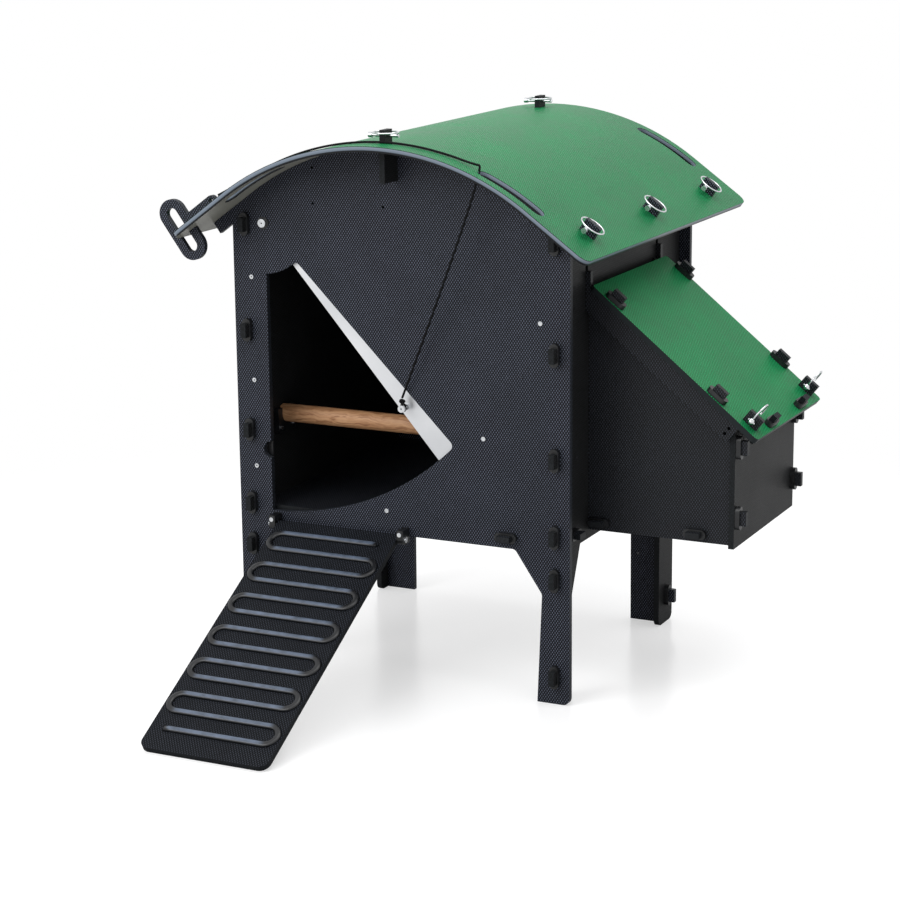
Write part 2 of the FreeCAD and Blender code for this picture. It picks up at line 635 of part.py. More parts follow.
floor_x = "(side_face - panel_t - fit_gap)"
floor_y0, floor_y1 = "(panel_t + fit_gap)", "(house_depth - panel_t - fit_gap)"
recess_y, recess_x = "(panel_t + door_gap + door_t + 2)", "-60"
floor_path = [
    ("-" + floor_x, recess_y), (recess_x, recess_y), (recess_x, floor_y0),
    ("floor_tab_x - tab_h / 2", floor_y0), ("floor_tab_x - tab_h / 2", "-tab_out"),
    ("floor_tab_x + tab_h / 2", "-tab_out"), ("floor_tab_x + tab_h / 2", floor_y0), (floor_x, floor_y0),
]
for y in floor_side_y:
    floor_path += [(floor_x, y + " - tab_h / 2"), ("side_face + tab_out", y + " - tab_h / 2"),
                   ("side_face + tab_out", y + " + tab_h / 2"), (floor_x, y + " + tab_h / 2")]
floor_path += [(floor_x, floor_y1)]
for sign in ("", "-"):
    near, far = ("+", "-")
    floor_path += [
        ("%sfloor_tab_x %s tab_h / 2" % (sign, near), floor_y1),
        ("%sfloor_tab_x %s tab_h / 2" % (sign, near), "house_depth + tab_out"),
        ("%sfloor_tab_x %s tab_h / 2" % (sign, far), "house_depth + tab_out"),
        ("%sfloor_tab_x %s tab_h / 2" % (sign, far), floor_y1),
    ]
floor_path += [("-" + floor_x, floor_y1)]
for y in reversed(floor_side_y):
    floor_path += [("-" + floor_x, y + " + tab_h / 2"), ("-side_face - tab_out", y + " + tab_h / 2"),
                   ("-side_face - tab_out", y + " - tab_h / 2"), ("-" + floor_x, y + " - tab_h / 2")]
plate("floor_panel", "XY_Plane", "floor_z", "panel_t", [floor_path])

# ---- roof, ridge beam and rib ---------------------------------------------------------------

eave_z = "(roof_centre_z + roof_radius / cos(roof_angle) - roof_half * tan(roof_angle))"
inner_eave = shift("roof_half", eave_z, "0", "-panel_t")
outer_tangent = ("roof_radius * sin(roof_angle)", "roof_centre_z + roof_radius * cos(roof_angle)")
inner_tangent = (
    "(roof_radius - panel_t) * sin(roof_angle)", "roof_centre_z + (roof_radius - panel_t) * cos(roof_angle)"
)
roof_path = [
    inner_eave, ("roof_half", eave_z), outer_tangent + ("0", "roof_centre_z", "ccw"),
    (neg(outer_tangent[0]), outer_tangent[1]), ("-roof_half", eave_z), (neg(inner_eave[0]), inner_eave[1]),
    (neg(inner_tangent[0]), inner_tangent[1], "0", "roof_centre_z", "cw"), inner_tangent,
]
roof_y0, roof_y1 = "-roof_front", "(house_depth + roof_rear)"
roof = plate("roof_sheet", "XZ_Plane", roof_y0, "(roof_front + house_depth + roof_rear)", [roof_path])


def corner_edges(body, reach, radius):
    """Rounds the through-thickness edges further out than `reach` from the centre line."""
    doc.recompute()
    tip = body.Tip
    thick = value("panel_t")
    names = []
    for number, edge in enumerate(tip.Shape.Edges, start=1):
        if abs(edge.Length - thick) < 0.01 and abs(edge.CenterOfMass.x) > value(reach):
            names.append("Edge%d" % number)
    feature = body.newObject("PartDesign::Fillet", body.Name + "_round")
    feature.Base = (tip, names)
    feature.setExpression("Radius", full(radius))


corner_edges(roof, "roof_half - panel_t", "roof_corner")

hand_mid = "(hand_inner_x + hand_length / 2)"
hand_tilt = "asin(%s / roof_radius)" % hand_mid
hand_z = "(roof_centre_z + sqrt(roof_radius ^ 2 - %s ^ 2))" % hand_mid
tab_line = under("eave_tab_x")
tab_ys = ["panel_t / 2", rib_y + " + panel_t / 2", rear_start + " + panel_t / 2"]
for sign in ("", "-"):
    lift = "30"
    above = (sign + "(%s + %s * sin(%s))" % (hand_mid, lift, hand_tilt), "0",
             "%s + %s * cos(%s)" % (hand_z, lift, hand_tilt))
    sketch = new_sketch(roof, "XY_Plane", turn=(above, sign + hand_tilt))
    for y in ("-roof_front + hand_edge", "house_depth + roof_rear - hand_edge"):
        contour(sketch, stadium("0", y, "hand_length + hand_width", "hand_width", upright=False))
    pocket(roof, sketch, "80")
    x, z = shift("eave_tab_x", tab_line, "0", "2 * panel_t")
    sketch = new_sketch(roof, "XY_Plane", turn=((sign + "(%s)" % x, "0", z), sign + "roof_angle"))
    for y in tab_ys:
        contour(sketch, box("0", y, "eave_tab_w + 2 * fit_gap", SLOT))
    pocket(roof, sketch, "4 * panel_t")
ridge_ys = ["-ridge_tab_y", "house_depth + ridge_tab_y"]
sketch = new_sketch(roof, "XY_Plane", "roof_centre_z + roof_radius + panel_t")
for y in ridge_ys:
    contour(sketch, box("0", y, SLOT, "ridge_tab_w + 2 * fit_gap"))
pocket(roof, sketch, "3 * panel_t")

ridge_up = "roof_centre_z + roof_radius + roof_tab_out"
ridge_y0, ridge_y1 = "-ridge_front", "(house_depth + ridge_front)"
ridge_path = [(ridge_y0, RIDGE_BOTTOM), (rib_y + " - fit_gap", RIDGE_BOTTOM),
              (rib_y + " - fit_gap", RIDGE_BOTTOM + " + ridge_lap"),
              (rib_y + " + panel_t + fit_gap", RIDGE_BOTTOM + " + ridge_lap"),
              (rib_y + " + panel_t + fit_gap", RIDGE_BOTTOM), (ridge_y1, RIDGE_BOTTOM), (ridge_y1, RIDGE_TOP)]
for y in reversed(ridge_ys):
    ridge_path += [(y + " + ridge_tab_w / 2", RIDGE_TOP), (y + " + ridge_tab_w / 2", ridge_up),
                   (y + " - ridge_tab_w / 2", ridge_up), (y + " - ridge_tab_w / 2", RIDGE_TOP)]
ridge_path += [(ridge_y0, RIDGE_TOP)]
ridge_pin_z = "roof_centre_z + roof_radius + pin_hole_up"
plate("ridge_beam", "YZ_Plane", "-panel_t / 2", "panel_t", [ridge_path],
      [(y, ridge_pin_z, "pin_hole_r") for y in ridge_ys])

rib_low_r = "(%s - rib_depth)" % UNDER_R
rib_start = ("0.001", "roof_centre_z + sqrt(%s ^ 2 - 0.001 ^ 2)" % rib_low_r)
rib_end_z = "roof_centre_z + sqrt(%s ^ 2 - rib_inner_x ^ 2)" % rib_low_r
ear_low = "(%s - ear_depth / cos(roof_angle))"
rib_right = [("rib_inner_x", rib_end_z), ("rib_inner_x", ear_low % under("rib_inner_x"))]
rib_right += gable_top(RIDGE_BOTTOM + " + ridge_lap")
rib_path = rib_right + mirrored(rib_right)
last = rib_path[-1]
rib_path[-1] = (last[0], last[1], "0", "roof_centre_z", "cw")
plate("roof_rib", "XZ_Plane", rib_y, "panel_t", [rib_path], eave_pin_holes())

# ---- nest box -----------------------------------------------------------------------------------


def lid_point(along, out):
    """Point on or beside the lid: down the slope and out from its top face."""
    x = "lid_x + (%s) * cos(lid_angle) + (%s) * sin(lid_angle)" % (along, out)
    z = "lid_z - (%s) * sin(lid_angle) + (%s) * cos(lid_angle)" % (along, out)
    return x, z


def lid_height(x, out):
    """Height at x of the line parallel to the lid, `out` from its top face."""
    return "(lid_z + (%s) / cos(lid_angle) - ((%s) - lid_x) * tan(lid_angle))" % (out, x)


lid_frame = {"base": ("lid_x", "0", "lid_z"), "axis": (0, 1, 0), "angle": "lid_angle"}
wall_x0, wall_x1 = "(side_face + fit_gap)", "(nest_end_x - fit_gap)"
under_lid = "-(panel_t + fit_gap)"
lock_half = "(eave_tab_w / 2)"
wall_path = [
    (wall_x0, "nest_bottom"), (wall_x1, "nest_bottom"),
]
for z in ("nest_tab_z2", "nest_tab_z1"):
    wall_path += [(wall_x1, z + " - tab_h / 2"), ("nest_end_x + panel_t + tab_out", z + " - tab_h / 2"),
                  ("nest_end_x + panel_t + tab_out", z + " + tab_h / 2"), (wall_x1, z + " + tab_h / 2")]
wall_path += [
    (wall_x1, lid_height(wall_x1, "-nest_ear_drop")),
    lid_point("lock_tab + 20", "-nest_ear_drop"), lid_point("lock_tab + 20", under_lid),
    lid_point("lock_tab + " + lock_half, under_lid), lid_point("lock_tab + " + lock_half, "roof_tab_out"),
    lid_point("lock_tab - " + lock_half, "roof_tab_out"), lid_point("lock_tab - " + lock_half, under_lid),
    (wall_x0, lid_height(wall_x0, under_lid)),
]
for z in ("nest_in_z1", "nest_in_z2"):
    wall_path += [(wall_x0, z + " + tab_h / 2"), ("side_face - panel_t - tab_out", z + " + tab_h / 2"),
                  ("side_face - panel_t - tab_out", z + " - tab_h / 2"), (wall_x0, z + " - tab_h / 2")]
nest_floor_slots = [
    box(x, "nest_floor_z + panel_t / 2", TAB_SLOT, SLOT) for x in ("nest_tab_x1", "nest_tab_x2")
]
lock_hole = lid_point("lock_tab", "pin_hole_up") + ("pin_hole_r",)
plate("nest_front_wall", "XZ_Plane", "nest_y0", "panel_t", [wall_path] + nest_floor_slots, [lock_hole])
plate("nest_rear_wall", "XZ_Plane", "nest_y1 - panel_t", "panel_t", [wall_path] + nest_floor_slots, [lock_hole])

end_y0, end_y1 = "(nest_y0 - 5)", "(nest_y1 + 5)"
end_top = lid_height("nest_end_x + panel_t", under_lid) + " - 0.2"
end_path = [(end_y0, "nest_end_bottom"), (end_y1, "nest_end_bottom"), (end_y1, end_top)]
for y in reversed(nest_ys):
    end_path += [(y + " + %s / 2" % SLOT, end_top), (y + " + %s / 2" % SLOT, "nest_notch_z"),
                 (y + " - %s / 2" % SLOT, "nest_notch_z"), (y + " - %s / 2" % SLOT, end_top)]
end_path += [(end_y0, end_top)]
end_slots = [box(y, z, SLOT, TAB_SLOT) for y in nest_ys for z in ("nest_tab_z1", "nest_tab_z2")]
plate("nest_end_panel", "YZ_Plane", "nest_end_x", "panel_t", [end_path] + end_slots)

nest_floor_path = [(wall_x0, "nest_y0 + panel_t + fit_gap")]
for x in ("nest_tab_x1", "nest_tab_x2"):
    nest_floor_path += [
        (x + " - tab_h / 2", "nest_y0 + panel_t + fit_gap"), (x + " - tab_h / 2", "nest_y0 - tab_out"),
        (x + " + tab_h / 2", "nest_y0 - tab_out"), (x + " + tab_h / 2", "nest_y0 + panel_t + fit_gap"),
    ]
nest_floor_path += [(wall_x1, "nest_y0 + panel_t + fit_gap"), (wall_x1, "nest_y1 - panel_t - fit_gap")]
for x in ("nest_tab_x2", "nest_tab_x1"):
    nest_floor_path += [
        (x + " + tab_h / 2", "nest_y1 - panel_t - fit_gap"), (x + " + tab_h / 2", "nest_y1 + tab_out"),
        (x + " - tab_h / 2", "nest_y1 + tab_out"), (x + " - tab_h / 2", "nest_y1 - panel_t - fit_gap"),
    ]
nest_floor_path += [(wall_x0, "nest_y1 - panel_t - fit_gap")]
plate("nest_floor", "XY_Plane", "nest_floor_z", "panel_t", [nest_floor_path])

rail_mid = ["rail_front_y + panel_t / 2", "rail_rear_y + panel_t / 2"]
lid_slots = [
    box(x, y, TAB_SLOT, SLOT) for x in ("rail_tab_1", "rail_tab_2") for y in rail_mid
]
lid_slots += [box("lock_tab", y, "eave_tab_w + 2 * fit_gap", SLOT) for y in nest_ys]
lid_slots += [box("lip_at + panel_t / 2", y, SLOT, TAB_SLOT) for y in ("lip_tab_y1", "lip_tab_y2")]
lid = plate("nest_lid", "XY_Plane", "-panel_t", "panel_t",
            [span("0", "lid_y0", "lid_len", "lid_y1")] + lid_slots, **lid_frame)
round_edges(lid, 2, [("0", "lid_y0"), ("0", "lid_y1"), ("lid_len", "lid_y0"), ("lid_len", "lid_y1")],
            "lid_corner")

horn_x = "(lid_x - panel_t * sin(lid_angle) - 0.5)"
rail_face = "(side_face + rail_gap)"
rail_path = [
    (rail_face, lid_height(rail_face, "-rail_drop")), lid_point("rail_end", "-rail_drop"),
    lid_point("rail_end", "-panel_t"),
]
for along in ("rail_tab_2", "rail_tab_1"):
    rail_path += [
        lid_point(along + " + tab_h / 2", "-panel_t"), lid_point(along + " + tab_h / 2", "tab_out"),
        lid_point(along + " - tab_h / 2", "tab_out"), lid_point(along + " - tab_h / 2", "-panel_t"),
    ]
rail_path += [
    (horn_x, lid_height(horn_x, "-panel_t")), (horn_x, "rail_nose_z + rail_nose_h"),
    ("rail_nose_x + rail_hook_w", "rail_nose_z + rail_nose_h"),
    ("rail_nose_x + rail_hook_w", "rail_nose_z + rail_nose_h + rail_hook_h"),
    ("rail_nose_x", "rail_nose_z + rail_nose_h + rail_hook_h"), ("rail_nose_x", "rail_nose_z"),
    (rail_face, "rail_nose_z"),
]
rail_holes = [lid_point("rail_end - 12", "-rail_drop + 10") + ("3",), lid_point("rail_end - 12", "-rail_drop + 22") + ("3",)]
plate("nest_lid_front_rail", "XZ_Plane", "rail_front_y", "panel_t", [rail_path], rail_holes)
plate("nest_lid_rear_rail", "XZ_Plane", "rail_rear_y", "panel_t", [rail_path], rail_holes)

lip_path = [("lip_y0", "-lip_drop"), ("lip_y1", "-lip_drop"), ("lip_y1", "-panel_t")]
for y in ("lip_tab_y2", "lip_tab_y1"):
    lip_path += [(y + " + tab_h / 2", "-panel_t"), (y + " + tab_h / 2", "tab_out"),
                 (y + " - tab_h / 2", "tab_out"), (y + " - tab_h / 2", "-panel_t")]
lip_path += [("lip_y0", "-panel_t")]
plate("nest_lid_lip", "YZ_Plane", "lip_at", "panel_t", [lip_path], **lid_frame)

# ---- locking clips --------------------------------------------------------------------------------

front_spots = [(sign + SIDE_MID, z, True) for sign in ("", "-") for z in FRONT_TABS]
front_spots += [("floor_tab_x", "floor_z + panel_t / 2", False)]
clips("front_clips", "XZ_Plane", "-clip_t", front_spots)
rear_spots = [(sign + SIDE_MID, z, True) for sign in ("", "-") for z in REAR_TABS]
rear_spots += [(sign + "floor_tab_x", "floor_z + panel_t / 2", False) for sign in ("", "-")]
clips("rear_clips", "XZ_Plane", "house_depth", rear_spots)
side_clip_spots = [("leg_frame_y + panel_t / 2", z, True) for z in ("rear_tab_z", "rear_tab_z2")]
side_clip_spots += [(y, "floor_z + panel_t / 2", False) for y in floor_side_y]
clips("right_side_clips", "YZ_Plane", "side_face", side_clip_spots)
clips("left_side_clips", "YZ_Plane", "-side_face - clip_t", side_clip_spots)
nest_floor_spots = [(x, "nest_floor_z + panel_t / 2", False) for x in ("nest_tab_x1", "nest_tab_x2")]
clips("nest_front_clips", "XZ_Plane", "nest_y0 - clip_t", nest_floor_spots)
clips("nest_rear_clips", "XZ_Plane", "nest_y1", nest_floor_spots)
clips("nest_end_clips", "YZ_Plane", "nest_end_x + panel_t",
      [(y, z, True) for y in nest_ys for z in ("nest_tab_z1", "nest_tab_z2")])
clips("nest_inner_clips", "YZ_Plane", "side_face - panel_t - clip_t",
      [(y, z, True) for y in nest_ys for z in ("nest_in_z1", "nest_in_z2")])
lid_spots = [(x, y, False) for x in ("rail_tab_1", "rail_tab_2") for y in rail_mid]
lid_spots += [("lip_at + panel_t / 2", y, True) for y in ("lip_tab_y1", "lip_tab_y2")]
clips("nest_lid_clips", "XY_Plane", "0", lid_spots, **lid_frame)

# ---- linch pins of the roof -------------------------------------------------------------------------

roof_pins = new_body("roof_linch_pins")
roof_rings = new_body("roof_linch_rings")
PIN_BACK, PIN_TIP, HEAD_LEN, HEAD_R = "25", "25", "7", "4.8"
hole_out = "panel_t + fit_gap + pin_hole_up"
for sign in ("", "-"):
    x, z = shift("eave_tab_x", tab_line, "0", hole_out)
    ring_x, ring_z = shift("eave_tab_x", tab_line, "0", "panel_t + fit_gap + ring_up")
    for y in tab_ys:
        base = (sign + "(%s)" % x, "%s + %s" % (y, PIN_TIP), z)
        solid(roof_pins, "Cylinder", base, (1, 0, 0), "90", Radius="pin_r", Height="%s + %s" % (PIN_TIP, PIN_BACK))
        base = (sign + "(%s)" % x, "%s - %s" % (y, PIN_BACK), z)
        solid(roof_pins, "Cylinder", base, (1, 0, 0), "90", Radius=HEAD_R, Height=HEAD_LEN)
        solid(roof_rings, "Torus", (sign + "(%s)" % ring_x, y, ring_z), (0, 1, 0), sign + "roof_angle",
              Radius1="ring_r", Radius2="wire_r")
for y in ridge_ys:
    solid(roof_pins, "Cylinder", (neg(PIN_TIP), y, ridge_pin_z), (0, 1, 0), "90", Radius="pin_r",
          Height="%s + %s" % (PIN_TIP, PIN_BACK))
    solid(roof_pins, "Cylinder", ("-%s - %s" % (PIN_TIP, HEAD_LEN), y, ridge_pin_z), (0, 1, 0), "90",
          Radius=HEAD_R, Height=HEAD_LEN)
    solid(roof_rings, "Torus", ("0", y, "roof_centre_z + roof_radius + ring_up"), Radius1="ring_r", Radius2="wire_r")

# ---- linch pins of the nest lid -----------------------------------------------------------------------

pin_x, pin_z = lid_point("lock_tab", "pin_hole_up")
ring_x, ring_z = lid_point("lock_tab", "lid_ring_up")
for name, y in zip(("front", "rear"), nest_ys):
    pin = new_body("lid_%s_pin" % name)
    solid(pin, "Cylinder", (pin_x, y + " + 13.6", pin_z), (1, 0, 0), "90", Radius="pin_r", Height="26")
    solid(pin, "Sphere", (pin_x, y + " - 15", pin_z), Radius="5.5")
    rivet_at = (pin_x + " - 7 * cos(lid_angle)", y + " - 15", pin_z + " + 7 * sin(lid_angle)")
    solid(pin, "Cylinder", rivet_at, (0, 1, 0), "90 + lid_angle", Radius="1.6", Height="14")
    ring = new_body("lid_%s_ring" % name)
    solid(ring, "Torus", ("0", "0", "0"), (0, 0, 1), "-ring_sweep / 2",
          Radius1="lid_ring_r", Radius2="wire_r", Angle3="ring_sweep")
    upright = FreeCAD.Rotation(FreeCAD.Vector(0, 0, 1), FreeCAD.Vector(0, -1, 0), FreeCAD.Vector(1, 0, 0), "ZXY")
    slope = FreeCAD.Rotation(FreeCAD.Vector(0, 1, 0), value("lid_angle"))
    ring.Placement = FreeCAD.Placement(FreeCAD.Vector(), slope.multiply(upright))
    place(ring, base=(ring_x, y, ring_z))

# ---- door --------------------------------------------------------------------------------------------

blade_y = "(panel_t + door_gap)"
lead_in = polar("sqrt(door_boss_r ^ 2 - door_edge ^ 2)", "door_lead", "-door_edge")
lead_out = polar("sqrt(door_r ^ 2 - door_edge ^ 2)", "door_lead", "-door_edge")
trail_out = polar("sqrt(door_r ^ 2 - door_edge ^ 2)", "door_trail", "door_edge")
trail_in = polar("sqrt(door_boss_r ^ 2 - door_edge ^ 2)", "door_trail", "door_edge")
blade = [lead_in, lead_out + PIVOT + ("ccw",), trail_out, trail_in + PIVOT + ("ccw",)]
plate("door", "XZ_Plane", blade_y, "door_t", [blade],
      [PIVOT + ("pivot_r + run_gap",), LIFT + ("lift_screw_r + run_gap",)])

bolt = new_body("door_pivot_bolt")
slab(bolt, "XZ_Plane", "-1.5 - 5", "5", [], [PIVOT + ("7.5",)])
slab(bolt, "XZ_Plane", "-1.5", "23.5", [], [PIVOT + ("pivot_r",)])
washers = new_body("door_pivot_washers")
behind = blade_y + " + door_t"
for start, thick in (("-1.5", "1.5"), (behind + " + 0.2", "1.5")):
    slab(washers, "XZ_Plane", start, thick, [], [PIVOT + ("11",), PIVOT + ("pivot_r + run_gap",)])
plate("door_pivot_nut", "XZ_Plane", behind + " + 1.7", "6", [], [PIVOT + ("6.8",), PIVOT + ("pivot_r + run_gap",)])

lift = new_body("door_lift_screw")
slab(lift, "XZ_Plane", "-12", "4", [], [LIFT + ("6.5",)])
slab(lift, "XZ_Plane", "-8", "8 + %s + 7" % behind, [], [LIFT + ("lift_screw_r",)])
nuts = new_body("door_lift_nuts")
for start, thick in (("%s - 5" % blade_y, "5"), (behind, "5")):
    slab(nuts, "XZ_Plane", start, thick, [], [LIFT + ("5.8",), LIFT + ("lift_screw_r + run_gap",)])

spacer_y, lip_y = "panel_t", "(panel_t + guide_t)"
left_guide = new_body("door_left_guide")
guide_z0, guide_z1 = "(guide_z3 - 40)", "(guide_z1 + 20)"
guide_face = "(side_face - panel_t - fit_gap)"
step_x = "-(door_pivot_x + door_edge + 3.4)"
left_holes = [(x, z, "m4_r + run_gap") for x, z in GUIDE_SPOTS[:3]]
slab(left_guide, "XZ_Plane", spacer_y, "guide_t", [span("-" + guide_face, guide_z0, step_x, guide_z1)], left_holes)
slab(left_guide, "XZ_Plane", lip_y, "guide_lip_t", [span("-" + guide_face, guide_z0, "-door_pivot_x", guide_z1)],
     left_holes)


def arc_strip(inner, outer):
    return [
        polar(inner, "guide_arc_from"), polar(outer, "guide_arc_from") + PIVOT + ("ccw",),
        polar(outer, "guide_arc_to"), polar(inner, "guide_arc_to") + PIVOT + ("cw",),
    ]


arc_guide = new_body("door_arc_guide")
arc_holes = [(x, z, "m4_r + run_gap") for x, z in GUIDE_SPOTS[3:]]
slab(arc_guide, "XZ_Plane", spacer_y, "guide_t", [arc_strip("guide_arc_step", "guide_arc_out")], arc_holes)
slab(arc_guide, "XZ_Plane", lip_y, "guide_lip_t", [arc_strip("guide_arc_in", "guide_arc_out")], arc_holes)

screws = new_body("guide_screws")
guide_back = "(panel_t + guide_t + guide_lip_t)"
slab(screws, "XZ_Plane", "-2.4", "2.4", [], [(x, z, "4") for x, z in GUIDE_SPOTS])
slab(screws, "XZ_Plane", "0", guide_back + " + 4", [], [(x, z, "m4_r") for x, z in GUIDE_SPOTS])
guide_nuts = []
for x, z in GUIDE_SPOTS:
    guide_nuts += [(x, z, "3.8"), (x, z, "m4_r + run_gap")]
plate("guide_nuts", "XZ_Plane", guide_back, "3.2", [], guide_nuts)

# ---- ramp ------------------------------------------------------------------------------------------------

ramp_frame = {"base": ("ramp_x", "ramp_top_y", "ramp_top_z"), "axis": (1, 0, 0), "angle": "ramp_angle"}
ramp = plate("ramp", "XY_Plane", "-panel_t", "panel_t",
             [span("-ramp_w / 2", "-ramp_len", "ramp_w / 2", "0")], **ramp_frame)
hinge_hole = [("-panel_t / 2", "-panel_t / 2", "hinge_r + run_gap")]
for side, reverse in (("-ramp_w / 2 - 1", False), ("ramp_w / 2 - 25", False)):
    sketch = new_sketch(ramp, "YZ_Plane", side)
    circle(sketch, *hinge_hole[0])
    pocket(ramp, sketch, "26", reverse=True)
round_edges(ramp, 2, [("-ramp_w / 2", "-ramp_len"), ("ramp_w / 2", "-ramp_len")], "ramp_round")
sketch = new_sketch(ramp, "XY_Plane", "0")
for k in range(13):
    y = "-bar_first - %d * bar_pitch" % k
    contour(sketch, stadium("0", y, "bar_len + bar_w", "bar_w", upright=False))
pad(ramp, sketch, "bar_h")

# hinge line of the ramp in the working frame
hinge_y = "(ramp_top_y - panel_t / 2 * cos(ramp_angle) + panel_t / 2 * sin(ramp_angle))"
hinge_z = "(ramp_top_z - panel_t / 2 * sin(ramp_angle) - panel_t / 2 * cos(ramp_angle))"
lugs = new_body("ramp_hinge_lugs")
lug_front, lug_high = "(%s - 9)" % hinge_y, "body_bottom + 16"
lug_path = [
    (hinge_y, hinge_z + " - 9", hinge_y, hinge_z, "cw"), (lug_front, hinge_z),
    (lug_front, lug_high), ("-fit_gap", lug_high), ("-fit_gap", hinge_z + " - 9"),
]
for x in RAMP_LUGS:
    slab(lugs, "YZ_Plane", "%s - lug_w / 2" % x, "lug_w", [lug_path], [(hinge_y, hinge_z, "hinge_r + run_gap")])
sketch = new_sketch(lugs, "XZ_Plane", lug_front + " - 2")
for x, z in LUG_SCREWS:
    circle(sketch, x, z, "m4_r + run_gap")
pocket(lugs, sketch, "12 - " + lug_front)
lug_screws = new_body("ramp_lug_screws")
slab(lug_screws, "XZ_Plane", lug_front + " - 2.4", "2.4", [], [(x, z, "4") for x, z in LUG_SCREWS])
slab(lug_screws, "XZ_Plane", lug_front, "panel_t - 0.5 - " + lug_front, [], [(x, z, "m4_r") for x, z in LUG_SCREWS])
pins = new_body("ramp_hinge_pins")
for sign, x in zip(("-", ""), RAMP_LUGS):
    low = "%s - lug_w / 2 %s" % (x, "- 3" if sign else "- 22")
    slab(pins, "YZ_Plane", low, "lug_w + 25", [], [(hinge_y, hinge_z, "hinge_r")])
    low = "%s - lug_w / 2 - 3" % x if sign else "%s + lug_w / 2 + 0" % x
    slab(pins, "YZ_Plane", low, "3", [], [(hinge_y, hinge_z, "5.5")])

# ---- perch -------------------------------------------------------------------------------------------------

inner_face = "(side_face - panel_t)"
perch = new_body("perch")
slab(perch, "YZ_Plane", "-%s + 2" % inner_face, "2 * %s - 4" % inner_face, [], [("perch_y", "perch_z", "perch_r")])
cradles = new_body("perch_cradles")
seat = "(perch_r + fit_gap)"
cradle_path = [
    ("perch_y - cradle_half", "perch_z - 34"), ("perch_y + cradle_half", "perch_z - 34"),
    ("perch_y + cradle_half", "perch_z + 12"), ("perch_y + %s" % seat, "perch_z + 12"),
    ("perch_y + %s" % seat, "perch_z", "perch_y", "perch_z", "cw"), ("perch_y - %s" % seat, "perch_z"),
    ("perch_y - %s" % seat, "perch_z + 12"), ("perch_y - cradle_half", "perch_z + 12"),
]
cradle_holes = [("perch_y + 24", "perch_z - 24", "m4_r + run_gap"), ("perch_y - 24", "perch_z - 24", "m4_r + run_gap")]
for start in ("-%s" % inner_face, "%s - panel_t" % inner_face):
    slab(cradles, "YZ_Plane", start, "panel_t", [cradle_path], cradle_holes)
bolts = new_body("perch_cradle_screws")
cradle_spots = [("perch_y + 24", "perch_z - 24"), ("perch_y - 24", "perch_z - 24")]
for shaft, head in (("-side_face", "-%s + panel_t" % inner_face), ("%s - panel_t" % inner_face, "%s - panel_t - 2.4" % inner_face)):
    slab(bolts, "YZ_Plane", shaft, "2 * panel_t", [], [(y, z, "m4_r") for y, z in cradle_spots])
    slab(bolts, "YZ_Plane", head, "2.4", [], [(y, z, "4") for y, z in cradle_spots])

# ---- cord and its handle -----------------------------------------------------------------------------------


def eave(along, out):
    """Point of the left slope: `along` inwards from the top edge of the eave, `out` above the roof."""
    x, z = shift("roof_half", eave_z, neg(along), out)
    return neg(x), z


def eave_arc(along, out, centre_along, centre_out, turn):
    return eave(along, out) + eave(centre_along, centre_out) + (turn,)


GRIP_AT = "(grip_w / 2 - 0.3)"
ring_half = "((handle_len - handle_w) / 2)"
grip_half = "((grip_len - grip_w) / 2)"
ring_in, ring_out = "(%s + handle_w / 2)" % GRIP_AT, "(%s - handle_w / 2)" % GRIP_AT
grip_in, grip_out = "(%s + grip_w / 2)" % GRIP_AT, "(%s - grip_w / 2)" % GRIP_AT
stem_end = "(%s + stem_len)" % ring_in
stem_low = "fit_gap"
slot_low = "-(panel_t + fit_gap)"
stem_mid = "(%s + stem_h / 2)" % stem_low
handle_path = [
    eave(ring_in, slot_low), eave(grip_in, slot_low),
    eave_arc(grip_in, neg(grip_half), GRIP_AT, neg(grip_half), "cw"),
    eave(grip_out, neg(grip_half)), eave_arc(grip_out, grip_half, GRIP_AT, grip_half, "cw"),
    eave(grip_in, grip_half), eave(grip_in, stem_low),
    eave_arc(stem_end, stem_low, stem_end, stem_mid, "ccw"),
    eave(stem_end, "%s + stem_h" % stem_low), eave(ring_in, "%s + stem_h" % stem_low),
    eave_arc(ring_in, ring_half, GRIP_AT, ring_half, "ccw"), eave(ring_out, ring_half),
    eave_arc(ring_out, neg(ring_half), GRIP_AT, neg(ring_half), "ccw"), eave(ring_in, neg(ring_half)),
]
hole_x, hole_z = eave(stem_end, stem_mid)
plate("cord_handle", "XZ_Plane", "handle_y", "panel_t", [handle_path], [(hole_x, hole_z, "3.5")])
doc.recompute()


def soft_path(points):
    """Straight runs joined by tangent arcs, each arc as wide as its shorter neighbour allows."""
    edges = []
    start = points[0]
    for before, corner, after in zip(points, points[1:], points[2:]):
        way_in, way_out = (corner - before), (after - corner)
        shorter = min(way_in.Length, way_out.Length)
        way_in.normalize()
        way_out.normalize()
        reach = 0.45 * shorter
        turn_from, turn_to = corner - way_in * reach, corner + way_out * reach
        inward = way_out - way_in
        inward.normalize()
        half = way_in.getAngle(way_out) / 2
        radius = reach / math.tan(half)
        middle = corner + inward * (radius / math.cos(half) - radius)
        edges.append(Part.makeLine(start, turn_from))
        edges.append(Part.Arc(turn_from, middle, turn_to).toShape())
        print("cord turn %5.1f deg, radius %7.1f mm" % (math.degrees(2 * half), radius))
        start = turn_to
    edges.append(Part.makeLine(start, points[-1]))
    return Part.Wire(edges)


def cord(label, points, diameter):
    wire = soft_path(points)
    first = wire.Edges[0]
    profile = Part.Wire(Part.makeCircle(diameter / 2, points[0], first.tangentAt(first.FirstParameter)))
    shape = wire.makePipeShell([profile], True, False)
    ratio = shape.Volume / (math.pi * diameter ** 2 / 4 * wire.Length)
    print("%s: length %.1f mm, volume ratio %.4f" % (label, wire.Length, ratio))
    feature = doc.addObject("Part::Feature", label)
    feature.Label = label
    feature.Shape = shape
    place(feature)
    cords.append(feature)
    return feature


